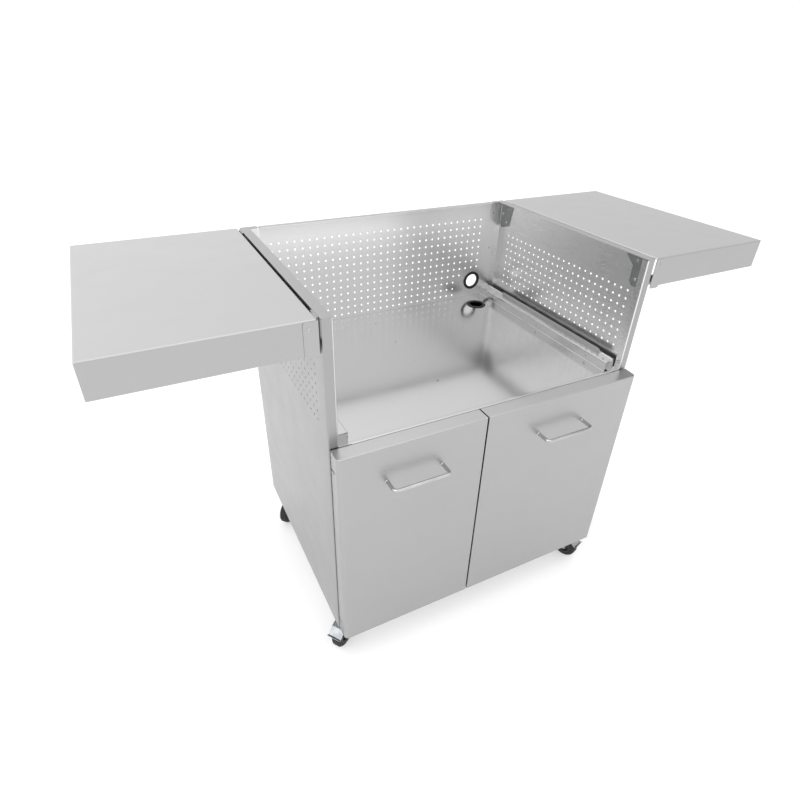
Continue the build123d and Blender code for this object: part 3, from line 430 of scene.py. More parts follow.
def islands(node: str) -> list[list[Vector]]:
    """Vertices of each separate solid in a CAD node, in order of the solids' centres."""
    work = opened(node)
    groups = []
    left = set(work.verts)
    while left:
        stack = [left.pop()]
        group = []
        while stack:
            vert = stack.pop()
            group.append(vert.co.copy())
            joined = {edge.other_vert(vert) for edge in vert.link_edges} & left
            left -= joined
            stack.extend(joined)
        groups.append(group)
    work.free()

    def centre(group: list[Vector]) -> tuple[float, ...]:
        """Rounded middle of a group, to sort by."""
        return tuple(round(value, 5) for value in sum(group, Vector()) / len(group))

    return sorted(groups, key=centre)


# ---------------------------------------------------------------- finishes


def srgb(code: str) -> tuple[float, float, float, float]:
    """Turn an sRGB hex code, with or without its #, into a linear colour and an alpha of 1."""
    digits = code.lstrip("#")
    values = [int(digits[index:index + 2], 16) / 255 for index in (0, 2, 4)]
    return (*(v / 12.92 if v <= 0.04045 else ((v + 0.055) / 1.055) ** 2.4 for v in values), 1.0)


def add(tree: NodeTree, kind: str, inputs: dict[Any, Any] | None = None, **settings: Any) -> Node:
    """Add one node, with its settings and links.

    Args:
        tree: tree that gets the node.
        kind: the node's type name.
        inputs: input socket (name or index) to a value or an output socket to link from.
        **settings: properties of the node.

    Returns:
        The new node.
    """
    node = tree.nodes.new(kind)
    for key, value in settings.items():
        setattr(node, key, value)
    for key, value in (inputs or {}).items():
        if isinstance(value, NodeSocket):
            tree.links.new(value, node.inputs[key])
        else:
            node.inputs[key].default_value = value
    return node


def calc(tree: NodeTree, operation: str, a: Any, b: Any) -> NodeSocket:
    """Result of one arithmetic step on two values or sockets."""
    return add(tree, "ShaderNodeMath", {0: a, 1: b}, operation=operation).outputs[0]


def grain_field(tree: NodeTree, grain: Axis, length: float, width: float) -> NodeSocket:
    """Long thin streaks along one axis, in Object coordinates.

    Args:
        tree: material tree.
        grain: direction of the streaks.
        length: length of a streak.
        width: width of a streak.

    Returns:
        Factor socket between 0 and 1.
    """
    scale = [1 / width] * 3
    scale[grain.value] = 1 / length
    where = add(tree, "ShaderNodeTexCoord").outputs["Object"]
    stretched = add(tree, "ShaderNodeMapping", {"Vector": where, "Scale": scale}).outputs[0]
    return add(tree, "ShaderNodeTexNoise", {"Vector": stretched, "Scale": 1.0, "Detail": 4.0,
                                            "Roughness": 0.62}).outputs["Fac"]


def cloud_field(tree: NodeTree, size: float, detail: float) -> NodeSocket:
    """Soft patches about one size across, in Object coordinates."""
    where = add(tree, "ShaderNodeTexCoord").outputs["Object"]
    return add(tree, "ShaderNodeTexNoise", {"Vector": where, "Scale": 1 / size,
                                            "Detail": detail}).outputs["Fac"]


def remap(tree: NodeTree, value: NodeSocket, low: float, high: float,
          start: float = 0.3, end: float = 0.7) -> NodeSocket:
    """Spread a noise factor, which stays near its middle, over low to high."""
    return add(tree, "ShaderNodeMapRange", {"Value": value, "From Min": start, "From Max": end,
                                            "To Min": low, "To Max": high}).outputs[0]


def blend(tree: NodeTree, factor: NodeSocket, a: Any, b: Any) -> NodeSocket:
    """Mix two colours or colour sockets."""
    return add(tree, "ShaderNodeMix", {0: factor, 6: a, 7: b}, data_type="RGBA").outputs[2]


def bump(tree: NodeTree, height: NodeSocket, strength: float, depth: float) -> NodeSocket:
    """Normals of a fine relief."""
    return add(tree, "ShaderNodeBump", {"Height": height, "Strength": strength,
                                        "Distance": depth}).outputs[0]


def new_material(name: str) -> tuple[Material, NodeTree, Node]:
    """Start a material and return it with its tree and its shader."""
    material = bpy.data.materials.new(name)
    material.use_nodes = True
    tree = material.node_tree
    tree.nodes.clear()
    shader = add(tree, "ShaderNodeBsdfPrincipled")
    add(tree, "ShaderNodeOutputMaterial", {"Surface": shader.outputs[0]})
    return material, tree, shader


def set_surface(tree: NodeTree, shader: Node, colour: NodeSocket, roughness: NodeSocket,
                normal: NodeSocket, metallic: float) -> None:
    """Link what a surface varies in to its shader."""
    for name, socket in (("Base Color", colour), ("Roughness", roughness), ("Normal", normal)):
        tree.links.new(socket, shader.inputs[name])
    shader.inputs["Metallic"].default_value = metallic


@dataclass(frozen=True)
class BrushedStainless:
    """Grit-brushed 430 stainless sheet: a soft even sheen with faint lines along the grain."""

    name: str
    grain: Axis
    light: str = "#B8B8B8"
    dark: str = "#B0B0B0"
    roughness: float = 0.36
    streak_length: float = 320 * MM
    streak_width: float = 0.9 * MM   # real grit lines are 0.1 mm apart; coarser, so that they show
    relief: float = 0.015 * MM
    unevenness: float = 0.05
    patch: float = 260 * MM
    smear: float = 60 * MM

    def build(self) -> Material:
        """Make the material."""
        material, tree, shader = new_material(self.name)
        streaks = grain_field(tree, self.grain, self.streak_length, self.streak_width)
        patches = cloud_field(tree, self.patch, 2.0)
        smears = cloud_field(tree, self.smear, 3.0)
        tone = blend(tree, remap(tree, streaks, 0.0, 1.0, 0.2, 0.8), srgb(self.dark),
                     srgb(self.light))
        tone = blend(tree, remap(tree, patches, 0.0, 0.3), tone, srgb(self.dark))
        rough = remap(tree, streaks, self.roughness - self.unevenness,
                      self.roughness + self.unevenness)
        extra = remap(tree, smears, -0.4 * self.unevenness, 0.6 * self.unevenness)
        set_surface(tree, shader, tone, calc(tree, "ADD", rough, extra),
                    bump(tree, streaks, 0.3, self.relief), 1.0)
        return material


@dataclass(frozen=True)
class PlainSteel:
    """Smooth metal: cold-rolled, polished wire or bright zinc plate, with handling marks."""

    name: str
    light: str
    dark: str
    roughness: float
    patch: float = 45 * MM
    scratch: float = 0.03
    relief: float = 0.05 * MM

    def build(self) -> Material:
        """Make the material."""
        material, tree, shader = new_material(self.name)
        patches = cloud_field(tree, self.patch, 4.0)
        fine = cloud_field(tree, self.patch / 12, 3.0)
        set_surface(
            tree, shader,
            blend(tree, remap(tree, patches, 0.0, 1.0), srgb(self.dark), srgb(self.light)),
            remap(tree, fine, self.roughness - self.scratch, self.roughness + self.scratch),
            bump(tree, fine, 0.12, self.relief), 1.0)
        return material


@dataclass(frozen=True)
class Moulding:
    """Moulded rubber or nylon: dark or pale, slightly grained, dusty where it scuffs."""

    name: str
    colour: str
    scuffed: str
    roughness: float
    grain: float = 0.8 * MM
    scuff: float = 22 * MM
    relief: float = 0.1 * MM

    def build(self) -> Material:
        """Make the material."""
        material, tree, shader = new_material(self.name)
        grain = cloud_field(tree, self.grain, 2.0)
        scuffs = cloud_field(tree, self.scuff, 4.0)
        set_surface(
            tree, shader,
            blend(tree, remap(tree, scuffs, 0.0, 0.5, 0.5, 0.75), srgb(self.colour),
                  srgb(self.scuffed)),
            remap(tree, scuffs, self.roughness - 0.05, self.roughness + 0.1),
            bump(tree, grain, 0.2, self.relief), 0.0)
        return material


class Finish(Enum):
    """Every finish of the cart."""

    ACROSS = BrushedStainless("brushed_430_stainless_grain_x", Axis.X)
    DEEP = BrushedStainless("brushed_430_stainless_grain_y", Axis.Y, "#A3A3A3", "#9D9D9D")
    # A darker copy of ACROSS with the same grain and roughness: painted shade on upright faces, whose tops are in
    # the lighter ACROSS
    FINE = BrushedStainless("fine_brushed_430_stainless_grain_x", Axis.X, "#ACACAC", "#A6A6A6")
    TRAY = BrushedStainless("cold_rolled_2b_stainless_tray", Axis.X, "#C2C2C2", "#BCBCBC",
                            roughness=0.15, relief=0.001 * MM, unevenness=0.02)
    MILL_ACROSS = BrushedStainless("mill_finish_430_stainless_grain_x", Axis.X, "#DFDFDF",
                                   "#DCDCDC", roughness=0.3, relief=0.002 * MM, unevenness=0.02)
    MILL_DEEP = BrushedStainless("mill_finish_430_stainless_grain_y", Axis.Y, "#DEDEDE",
                                 "#DBDBDB", roughness=0.28, relief=0.002 * MM, unevenness=0.02)
    INNER = PlainSteel("cold_rolled_430_stainless", "#B2B2B2", "#A9A9A9", 0.32, patch=150 * MM)
    WIRE = PlainSteel("polished_304_stainless_wire", "#BEBEBD", "#A9A9A8", 0.2)
    ZINC = PlainSteel("bright_zinc_plated_steel", "#B4B6B8", "#8F9296", 0.26, patch=18 * MM)
    FIXING = PlainSteel("stainless_fixings", "#BFBFBE", "#9C9C9B", 0.3, patch=6 * MM)
    PLATE = PlainSteel("galvanised_backing_steel", "#9C9D9D", "#868787", 0.4)
    RUBBER = Moulding("moulded_epdm_rubber", "#0D0D0E", "#232324", 0.5)
    TYRE = Moulding("thermoplastic_rubber_tyre", "#101011", "#2C2C2D", 0.6)
    HUB = Moulding("moulded_black_nylon_hub", "#19191A", "#333335", 0.42)
    CATCH = Moulding("moulded_pale_abs_catch", "#C9C7C2", "#B2B0AB", 0.45)


@cache
def material_of(finish: Finish) -> Material:
    """A finish's material, made when it is first asked for."""
    return finish.value.build()


def place(piece: Object, finish: Finish, body: str, slot: str, *nodes: str) -> Object:
    """Dress a piece, let it ride on a body, and let it stand for CAD nodes.

    Args:
        piece: finished mesh object.
        finish: its finish.
        body: CAD body that carries it.
        slot: the record's material slot; not used.
        *nodes: CAD nodes that it replaces.

    Returns:
        The piece.
    """
    piece.data.materials.clear()
    piece.data.materials.append(material_of(finish))
    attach(piece, body)
    if nodes:
        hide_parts(*nodes)
    LOG.info("%s rides on %s, %d faces", piece.name, body, len(piece.data.polygons))
    return piece


def dress_where(piece: Object, second: Finish, chosen: Callable[[Vector, Vector], bool]) -> None:
    """Give some faces of a placed piece a second finish.

    Args:
        piece: piece that already has its main finish.
        second: the other finish.
        chosen: tells from a face's normal and centre whether it takes the second finish.
    """
    piece.data.materials.append(material_of(second))
    for face in piece.data.polygons:
        face.material_index = int(chosen(face.normal, face.center))


def dress_node(node: str, finish: Finish, slot: str, width: float = BROKEN_EDGE) -> None:
    """Replace a plain CAD node by a copy with broken edges and a real finish.

    Args:
        node: CAD node.
        finish: its finish.
        slot: the record's material slot.
        width: width of the broken edges.
    """
    place(softened(node, width), finish, body_of(node), slot, node)


# ---------------------------------------------------------------- repeats


def new_group(name: str, inputs: Iterable[tuple[str, str]]) -> tuple[NodeTree, Any]:
    """Start a Geometry Nodes tree and return it with the sockets of its inputs.

    Args:
        name: name of the tree.
        inputs: name and kind of each input.

    Returns:
        The tree and the outputs of its input node.
    """
    tree = bpy.data.node_groups.new(name, "GeometryNodeTree")
    for label, kind in inputs:
        tree.interface.new_socket(name=label, in_out="INPUT", socket_type=f"NodeSocket{kind}")
    tree.interface.new_socket(name="Result", in_out="OUTPUT", socket_type="NodeSocketGeometry")
    return tree, add(tree, "NodeGroupInput").outputs


def run_group(piece: Object, tree: NodeTree, cells: dict[str, Object],
              values: dict[str, Any]) -> None:
    """Run a tree on a piece and keep the result as its mesh.

    Args:
        piece: object whose mesh goes in, and that keeps the result.
        tree: Geometry Nodes tree.
        cells: inputs that are objects; they are removed afterwards.
        values: the other inputs.
    """
    given = {**cells, **values}
    modifier = piece.modifiers.new(tree.name, "NODES")
    modifier.node_group = tree
    for item in tree.interface.items_tree:
        if item.item_type == "SOCKET" and item.in_out == "INPUT" and item.name in given:
            modifier[item.identifier] = given[item.name]
    baked(piece)
    for cell in cells.values():
        bpy.data.objects.remove(cell)


@dataclass
class PunchedField:
    """A rectangle of punched holes that fills the window left in a folded sheet.

    Cells stay plain in one corner round a grommet, if its place is given: right of
    corner_left, below corner_top and below a slope, all measured from the grommet.
    """

    columns: int
    rows: int
    centre: Vector
    turn: tuple[float, float, float]
    grommet: tuple[float, float, float] = (9.0, 9.0, 0.0)   # far away, for a sheet without one
    hole_radius: float = 2.75 * MM
    burr: float = 0.25 * MM
    segments: int = 20
    corner_left: float = -62 * MM
    corner_top: float = 36 * MM
    corner_slope: float = 60 * MM

    def cell(self, punched: bool) -> Object:
        """One square of sheet, face up at height 0, with or without its hole."""
        half = PITCH / 2
        square = [(half, half), (-half, half), (-half, -half), (half, -half)]
        points = [(x, y, z) for z in (0.0, -SHEET) for x, y in square]
        if not punched:
            return self.turned_out("plain_cell", points, [(0, 1, 2, 3), (7, 6, 5, 4)])
        rings = [(self.hole_radius + self.burr, 0.0), (self.hole_radius, -self.burr),
                 (self.hole_radius, self.burr - SHEET), (self.hole_radius + self.burr, -SHEET)]
        count, first = self.segments, len(points)
        for radius, height in rings:
            for step in range(count):
                angle = pi / 4 + 2 * pi * step / count
                points.append((radius * cos(angle), radius * sin(angle), height))
        faces = []
        quarter, under = count // 4, first + (len(rings) - 1) * count
        for k in range(4):
            arc = [(k * quarter + step) % count for step in range(quarter + 1)]
            faces.append((k, (k + 1) % 4, *(first + step for step in reversed(arc))))
            faces.append((4 + (k + 1) % 4, 4 + k, *(under + step for step in arc)))
        faces += tube_faces(len(rings), count, first)
        return self.turned_out("punched_cell", points, faces)

    @staticmethod
    def turned_out(name: str, points: Sequence[Sequence[float]],
                   faces: Sequence[Sequence[int]]) -> Object:
        """A cell whose flat faces look away from the sheet and whose wall looks into the hole."""
        mesh = raw_mesh(name, points, faces)
        with editing(mesh) as work:
            for face in work.faces:
                middle = face.calc_center_median()
                outward = Vector((-middle.x, -middle.y, 0))
                if abs(face.normal.z) > SAME_WAY:
                    outward = Vector((0, 0, middle.z + SHEET / 2))
                if face.normal.dot(outward) < 0:
                    face.normal_flip()
        return new_object(name, mesh)

    def tree(self) -> NodeTree:
        """Cells on a grid, plain ones round the grommet, joined to the sheet they fill."""
        tree, given = new_group("punched_field", (
            ("Sheet", "Geometry"), ("Columns", "Int"), ("Rows", "Int"), ("Pitch", "Float"),
            ("Centre", "Vector"), ("Turn", "Vector"), ("Grommet", "Vector"),
            ("Corner Left", "Float"), ("Corner Top", "Float"), ("Corner Slope", "Float"),
            ("Punched Cell", "Object"), ("Plain Cell", "Object")))
        wide, high = (calc(tree, "MULTIPLY", calc(tree, "SUBTRACT", given[name], 1.0),
                           given["Pitch"]) for name in ("Columns", "Rows"))
        grid = add(tree, "GeometryNodeMeshGrid", {
            "Vertices X": given["Columns"], "Vertices Y": given["Rows"],
            "Size X": wide, "Size Y": high}).outputs[0]
        here = add(tree, "GeometryNodeInputPosition").outputs[0]
        offset = add(tree, "ShaderNodeVectorMath", {0: here, 1: given["Grommet"]},
                     operation="SUBTRACT").outputs[0]
        parts = add(tree, "ShaderNodeSeparateXYZ", {0: offset}).outputs
        beside = calc(tree, "GREATER_THAN", parts[0], given["Corner Left"])
        below = calc(tree, "LESS_THAN", parts[1], given["Corner Top"])
        sloped = calc(tree, "LESS_THAN", calc(tree, "SUBTRACT", parts[1], parts[0]),
                      given["Corner Slope"])
        plain = calc(tree, "MULTIPLY", calc(tree, "MULTIPLY", beside, below), sloped)
        punched = calc(tree, "SUBTRACT", 1.0, plain)
        cells = add(tree, "GeometryNodeJoinGeometry")
        for chosen, name in ((plain, "Plain Cell"), (punched, "Punched Cell")):
            info = add(tree, "GeometryNodeObjectInfo", {"Object": given[name]})
            laid = add(tree, "GeometryNodeInstanceOnPoints", {
                "Points": grid, "Selection": chosen, "Instance": info.outputs["Geometry"]})
            tree.links.new(laid.outputs[0], cells.inputs[0])
        stood = add(tree, "GeometryNodeTransform", {
            "Geometry": cells.outputs[0], "Translation": given["Centre"],
            "Rotation": given["Turn"]})
        whole = add(tree, "GeometryNodeJoinGeometry", {0: stood.outputs[0]})
        tree.links.new(given["Sheet"], whole.inputs[0])
        real = add(tree, "GeometryNodeRealizeInstances", {0: whole.outputs[0]})
        closed = add(tree, "GeometryNodeMergeByDistance", {
            "Geometry": real.outputs[0], "Distance": SEAM})
        add(tree, "NodeGroupOutput", {0: closed.outputs[0]})
        return tree

    def fill(self, sheet: Object) -> None:
        """Fill a sheet's window with the field and close the seam."""
        run_group(sheet, self.tree(),
                  {"Punched Cell": self.cell(True), "Plain Cell": self.cell(False)},
                  {"Columns": self.columns, "Rows": self.rows, "Pitch": PITCH,
                   "Centre": tuple(self.centre), "Turn": self.turn, "Grommet": self.grommet,
                   "Corner Left": self.corner_left, "Corner Top": self.corner_top,
                   "Corner Slope": self.corner_slope})


class Head(Enum):
    """Kinds of fastener head."""

    RIVET = "domed blind rivet"
    SOCKET = "button head with a hexagon socket"


@dataclass
class Fasteners:
    """Heads set on the places where the CAD fasteners stand out of the sheet."""

    node: str
    body: str
    kind: Head
    radius: float
    height: float
    rim_share: float = 0.98   # of the radius, from where on a point is on the head's rim

    def places(self) -> list[tuple[Vector, Vector]]:
        """Foot and outward direction of every head."""
        found = []
        for group in islands(self.node):
            low, high = (Vector([pick(point[k] for point in group) for k in range(3)])
                         for pick in (min, max))
            middle, spans = (low + high) / 2, high - low
            along = next(k for k in range(3) if abs(spans[k] - 2 * self.radius) > CAD_ROUNDING)
            facing = Vector([float(k == along) for k in range(3)])
            rim = [arm.dot(facing) for arm in (point - middle for point in group)
                   if (arm - arm.project(facing)).length > self.rim_share * self.radius]
            if sum(rim) <= 0:
                facing.negate()
            found.append((middle + facing * (spans[along] / 2 - self.height), facing))
        return found

    def head(self) -> Object:
        """One head, its foot at the origin, facing +Z."""
        radius, height = self.radius, self.height
        outline = [(0.0, 0.0), (0.0, radius)]
        if self.kind is Head.RIVET:
            steps, segments = 6, 20
            outline += [(height * sin(pi / 2 * k / steps), radius * cos(pi / 2 * k / steps))
                        for k in range(1, steps)]
            outline += [(height, 0.32 * radius), (0.55 * height, 0.26 * radius),
                        (0.5 * height, 0.0)]
        else:
            socket, segments = 0.45 * radius, 24
            outline += [(0.35 * height, radius), (0.8 * height, 0.82 * radius),
                        (height, 0.58 * radius), (height, socket), (0.3 * height, socket),
                        (0.3 * height, 0.0)]
        return lathe("head", outline, Vector(), Vector((0, 0, 1)), segments)

    @staticmethod
    def tree() -> NodeTree:
        """A head on every point, turned to the point's facing."""
        tree, given = new_group("fastener_heads", (("Places", "Geometry"), ("Head", "Object")))
        facing = add(tree, "GeometryNodeInputNamedAttribute", {"Name": "facing"},
                     data_type="FLOAT_VECTOR")
        turned = add(tree, "FunctionNodeAlignRotationToVector", {"Vector": facing.outputs[0]},
                     axis="Z")
        info = add(tree, "GeometryNodeObjectInfo", {"Object": given["Head"]})
        heads = add(tree, "GeometryNodeInstanceOnPoints", {
            "Points": given["Places"], "Rotation": turned.outputs[0],
            "Instance": info.outputs["Geometry"]})
        real = add(tree, "GeometryNodeRealizeInstances", {0: heads.outputs[0]})
        add(tree, "NodeGroupOutput", {0: real.outputs[0]})
        return tree

    def build(self) -> None:
        """Make the heads and let them stand for the CAD fasteners."""
        places = self.places()
        mesh = raw_mesh(f"{self.node}_heads", [foot for foot, _ in places])
        facing = mesh.attributes.new("facing", "FLOAT_VECTOR", "POINT")
        for item, (_, direction) in zip(facing.data, places):
            item.vector = direction
        piece = new_object(f"{self.node}_heads", mesh)
        run_group(piece, self.tree(), {"Head": self.head()}, {})
        place(piece, Finish.FIXING, self.body, "fasteners", self.node)


# ---------------------------------------------------------------- the cabinet


@dataclass
class Carcass:
    """Planes of the cabinet, read from the frame."""

    left: float = field(init=False)
    right: float = field(init=False)
    front: float = field(init=False)
    back: float = field(init=False)
    base: float = field(init=False)
    top: float = field(init=False)

    def __post_init__(self) -> None:
        """Read the planes from the two side panels."""
        low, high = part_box("side_panel_left")
        self.left, self.front, self.base = low
        self.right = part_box("side_panel_right")[1].x
        self.back, self.top = high.y, high.z

    @property
    def middle_y(self) -> float:
        """Middle of the depth."""
        return (self.front + self.back) / 2


@dataclass
class PunchedPanel:
    """What the side and back panels share: a window that rows of holes fill.

    first_row is the depth of the top row's middle under the top of the cart.
    """

    carcass: Carcass
    columns: int
    rows: int
    first_row: float

    def column_edges(self, middle: float) -> list[float]:
        """Places along the panel where its columns of cells meet."""
        return [middle + PITCH * (k - self.columns / 2) for k in range(self.columns + 1)]

    def row_edges(self) -> list[float]:
        """Heights where its rows of cells meet, from the lowest up."""
        top = self.carcass.top - self.first_row + PITCH / 2
        return [top - PITCH * k for k in range(self.rows, -1, -1)]

    @property
    def middle_z(self) -> float:
        """Height of the window's middle."""
        return self.carcass.top - self.first_row - PITCH * (self.rows - 1) / 2


@dataclass
class SidePanel(PunchedPanel):
    """Side panel with its front post, rear flange, top flange and punched rows."""

    columns: int = 24
    rows: int = 8
    first_row: float = 94 * MM
    post_return: float = 17 * MM
    rear_flange: float = 42 * MM
    rear_tab: float = 16 * MM

    def wall(self) -> Mesh:
        """The wall with its post and rear flange, and a window where the holes go."""
        c = self.carcass
        stops = [(c.left, y) for y in reversed(self.column_edges(c.middle_y))]
        section = fold_samples([
            (c.left + self.rear_flange, c.back), (c.left, c.back), *stops, (c.left, c.front),
            (c.left + POST, c.front), (c.left + POST, c.front + self.post_return)])
        first = FOLD_STEPS + 2   # the flange's end and its fold come before the first stop
        return sheet_mesh("wall", section, [c.base, *self.row_edges(), c.top - FOLD],
                          lambda a, b, s: (a, b, s),
                          lambda i, j: 0 <= i - first < self.columns and 1 <= j <= self.rows)

    def head(self) -> list[Mesh]:
        """The top flange and the ends of the post and of the rear flange under it."""
        c = self.carcass
        under = c.top - FOLD - OVERLAP
        post, rear = c.left + POST, c.left + self.rear_flange
        return [
            sheet_mesh("top_flange", fold_samples([(post, c.top), (c.left, c.top),
                                                   (c.left, under)]),
                       [c.front + SHEET, c.back - SHEET], lambda a, b, s: (a, s, b)),
            box_mesh("post_head", (c.left + FOLD / 2, c.front, under),
                     (post, c.front + SHEET, c.top)),
            box_mesh("rear_head", (c.left + FOLD / 2, c.back - SHEET, under),
                     (rear, c.back, c.top)),
            box_mesh("rear_tab", (post, c.back - self.rear_tab, c.top - SHEET),
                     (rear, c.back - SHEET, c.top))]

    def build(self) -> None:
        """Make both panels, brushed outside and mill finish inside."""
        c = self.carcass
        panel = new_object("side_panel_left_skin", self.wall())
        PunchedField(self.columns, self.rows, Vector((c.left + SHEET, c.middle_y, self.middle_z)),
                     (pi / 2, 0.0, pi / 2)).fill(panel)
        panel.data = join_meshes("side_panel_left_skin", [panel.data, *self.head()])
        tidy_mesh(panel.data, outward=False)
        twin = mirrored(panel, "side_panel_right_skin")
        for piece, node in ((panel, "side_panel_left"), (twin, "side_panel_right")):
            place(piece, Finish.DEEP, "cabinet", "stainless_sheet", node)
            dress_where(piece, Finish.MILL_DEEP, lambda normal, centre: normal.x * centre.x < 0)


@dataclass
class BackPanel(PunchedPanel):
    """Perforated back panel with its folded top and the plain corner round the grommet."""

    columns: int = 32
    rows: int = 12
    first_row: float = 50 * MM
    wing: float = 47 * MM
    relief: float = 28 * MM
    neck: float = 24.05 * MM
    tab_gap: float = 1 * MM

    def build(self) -> None:
        """Make the panel, brushed behind and mill finish towards the well."""
        c = self.carcass
        low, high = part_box("back_panel")
        rows = [(high.y, z) for z in self.row_edges()]
        samples = fold_samples([(high.y, low.z), *rows, (high.y, c.top), (low.y, c.top)])
        panel = new_object("back_panel_skin", sheet_mesh(
            "wall", samples, [c.left + self.wing, *self.column_edges(0.0), c.right - self.wing],
            lambda a, b, s: (s, a, b),
            lambda i, j: 1 <= i <= self.rows and 1 <= j <= self.columns))
        grommet = mount_place("back_grommet")
        PunchedField(self.columns, self.rows, Vector((0.0, high.y - SHEET, self.middle_z)),
                     (pi / 2, 0.0, 0.0),
                     (grommet.x, grommet.z - self.middle_z, 0.0)).fill(panel)
        reach = 2 * CUTTER_REACH
        cutter = lathe("neck_cutter", [(-reach, 0.0), (-reach, self.neck), (reach, self.neck),
                                       (reach, 0.0)], grommet, Vector((0, 1, 0)), 64)
        cut_away(panel, [cutter.data])
        bpy.data.objects.remove(cutter)
        wings = []
        for sign in (-1, 1):
            inner, outer = sign * (c.right - self.wing), sign * (c.right - POST)
            wings.append(box_mesh("wing", (inner, high.y - SHEET, low.z),
                                  (outer, high.y, c.top - self.relief)))
            wings.append(box_mesh("tab", (inner + sign * self.tab_gap, high.y - SHEET,
                                          c.top - self.relief),
                                  (outer, high.y, c.top - SHEET - GAP)))
        panel.data = join_meshes("back_panel_skin", [panel.data, *wings])
        tidy_mesh(panel.data, outward=False)
        place(panel, Finish.FINE, "cabinet", "stainless_sheet", "back_panel")
        dress_where(panel, Finish.MILL_ACROSS, lambda normal, centre: normal.y < 0)


@dataclass
class Tray:
    """Well tray, with the flanges that close the corners beside the front posts."""

    carcass: Carcass
    wall: float = 50 * MM
    depth: float = 20 * MM

    def build(self) -> None:
        """Make the tray."""
        c = self.carcass
        tray = softened("well_tray")
        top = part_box("door_left")[1].z
        corners = [box_mesh("corner", (sign * (c.right - POST - GAP), c.front, top - SHEET),
                            (sign * (c.right - self.wall), c.front + self.depth, top))
                   for sign in (-1, 1)]
        tray.data = join_meshes("well_tray_skin", [tray.data, *corners])
        place(tray, Finish.TRAY, "cabinet", "stainless_sheet", "well_tray")


@dataclass
class Grommet:
    """Rubber ring through one sheet: two soft lips and a neck."""

    node: str
    mount: str
    facing: tuple[float, float, float]
    bore: float = 20 * MM
    lip_radius: float = 29 * MM
    neck: float = 24 * MM
    lip: float = 2.2 * MM

    def build(self) -> None:
        """Make the ring."""
        half, wide = SHEET / 2, self.lip_radius
        face = half + self.lip
        corners = [(half, self.neck, 0.0), (half, wide, 0.6 * MM),
                   (face, wide - 0.5 * MM, 1.6 * MM), (face, self.bore, 1.2 * MM),
                   (-face, self.bore, 1.0 * MM), (-face, wide - 2.5 * MM, 1.4 * MM),
                   (-half, wide - 2 * MM, 0.6 * MM), (-half, self.neck, 0.0)]
        ring = lathe(f"{self.node}_ring", rounded(corners), mount_place(self.mount),
                     Vector(self.facing), 72)
        place(ring, Finish.RUBBER, "cabinet", "black_rubber", self.node)


# ---------------------------------------------------------------- doors, pulls and shelves


EdgeTest = Callable[[Vector, Vector], bool]


def pan(name: str, low: Vector, high: Vector, open_face: Vector,
        edges: Sequence[tuple[EdgeTest, float, int]]) -> Object:
    """A pressed pan: a box with rounded edges, open on one face, made of sheet.

    Args:
        name: name of the object.
        low: lowest corner.
        high: highest corner.
        open_face: outward direction of the open face.
        edges: which edges to round, as (test on edge ends, radius, steps), in order.

    Returns:
        The pan, with its wall thickness inside the box.
    """
    work = bmesh.new()
    work.from_mesh(box_mesh(name, low, high))
    for test, radius, steps in edges:
        chosen = [edge for edge in work.edges if edge.calc_face_angle(0) > SMOOTH_ANGLE
                  and test(edge.verts[0].co, edge.verts[1].co)]
        bmesh.ops.bevel(work, geom=chosen, offset=radius, segments=steps, profile=0.5,
                        affect="EDGES")
    opening = [face for face in work.faces if face.normal.dot(open_face) > SAME_WAY]
    bmesh.ops.delete(work, geom=opening, context="FACES_ONLY")
    piece = new_object(name, finished(name, work))
    wall = piece.modifiers.new("wall", "SOLIDIFY")
    wall.thickness = SHEET
    wall.offset = -1.0
    wall.use_even_offset = True
    return baked(piece)


@dataclass
class Door:
    """Door skin: a pan with a well-rounded hinge edge and slots for its hinge plates."""

    side: Side
    hinge_radius: float = 11 * MM
    edge_radius: float = 2 * MM
    slot_half: float = 2.1 * MM
    slot_reach: float = 5.6 * MM
    slot_depth: float = 8.5 * MM

    def build(self) -> None:
        """Make the skin, its top faces lighter than its front as painted light and shade, and dress the liner
        behind it.
        """
        node, sign = f"door_{self.side.word}", self.side.value
        low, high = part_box(node)
        hinge_x, gap_x = (low.x, high.x) if self.side is Side.LEFT else (high.x, low.x)

        def front_upright(x: float) -> EdgeTest:
            """Test for the upright front edge at one x."""
            return lambda a, b: (abs(a.x - x) < NEAR and abs(b.x - x) < NEAR
                                 and max(a.y, b.y) < low.y + NEAR)

        def front_level(a: Vector, b: Vector) -> bool:
            """Test for a level edge of the front face."""
            return max(a.y, b.y) < high.y - NEAR and abs(a.z - b.z) < NEAR

        at_gap = front_upright(gap_x)
        door = pan(f"{node}_skin", low, high, Vector((0, 1, 0)), [
            (front_upright(hinge_x), self.hinge_radius, 10),
            (lambda a, b: front_level(a, b) or at_gap(a, b), self.edge_radius, 4)])
        pin = Vector(joint(f"{node}_swing")["pos_m"])
        slots = []
        for plate in islands("door_hinge_plates"):
            centre = sum(plate, Vector()) / len(plate)
            if centre.x * sign > 0:
                slots.append(box_mesh(
                    "slot", (pin.x - sign * self.slot_reach, pin.y - self.slot_depth,
                             centre.z - self.slot_half),
                    (hinge_x + sign * CUTTER_REACH, high.y + CUTTER_REACH,
                     centre.z + self.slot_half)))
        evenly_shaded(cut_away(door, slots))
        # Painted light and shade: the front takes the darker copy of the brushed sheet, and the faces that look up
        # take the lighter one
        place(door, Finish.FINE, node, "stainless_sheet", node)
        dress_where(door, Finish.ACROSS, lambda normal, centre: normal.z > UPWARD)
        dress_node(f"door_liner_{self.side.word}", Finish.INNER, "stainless_sheet")


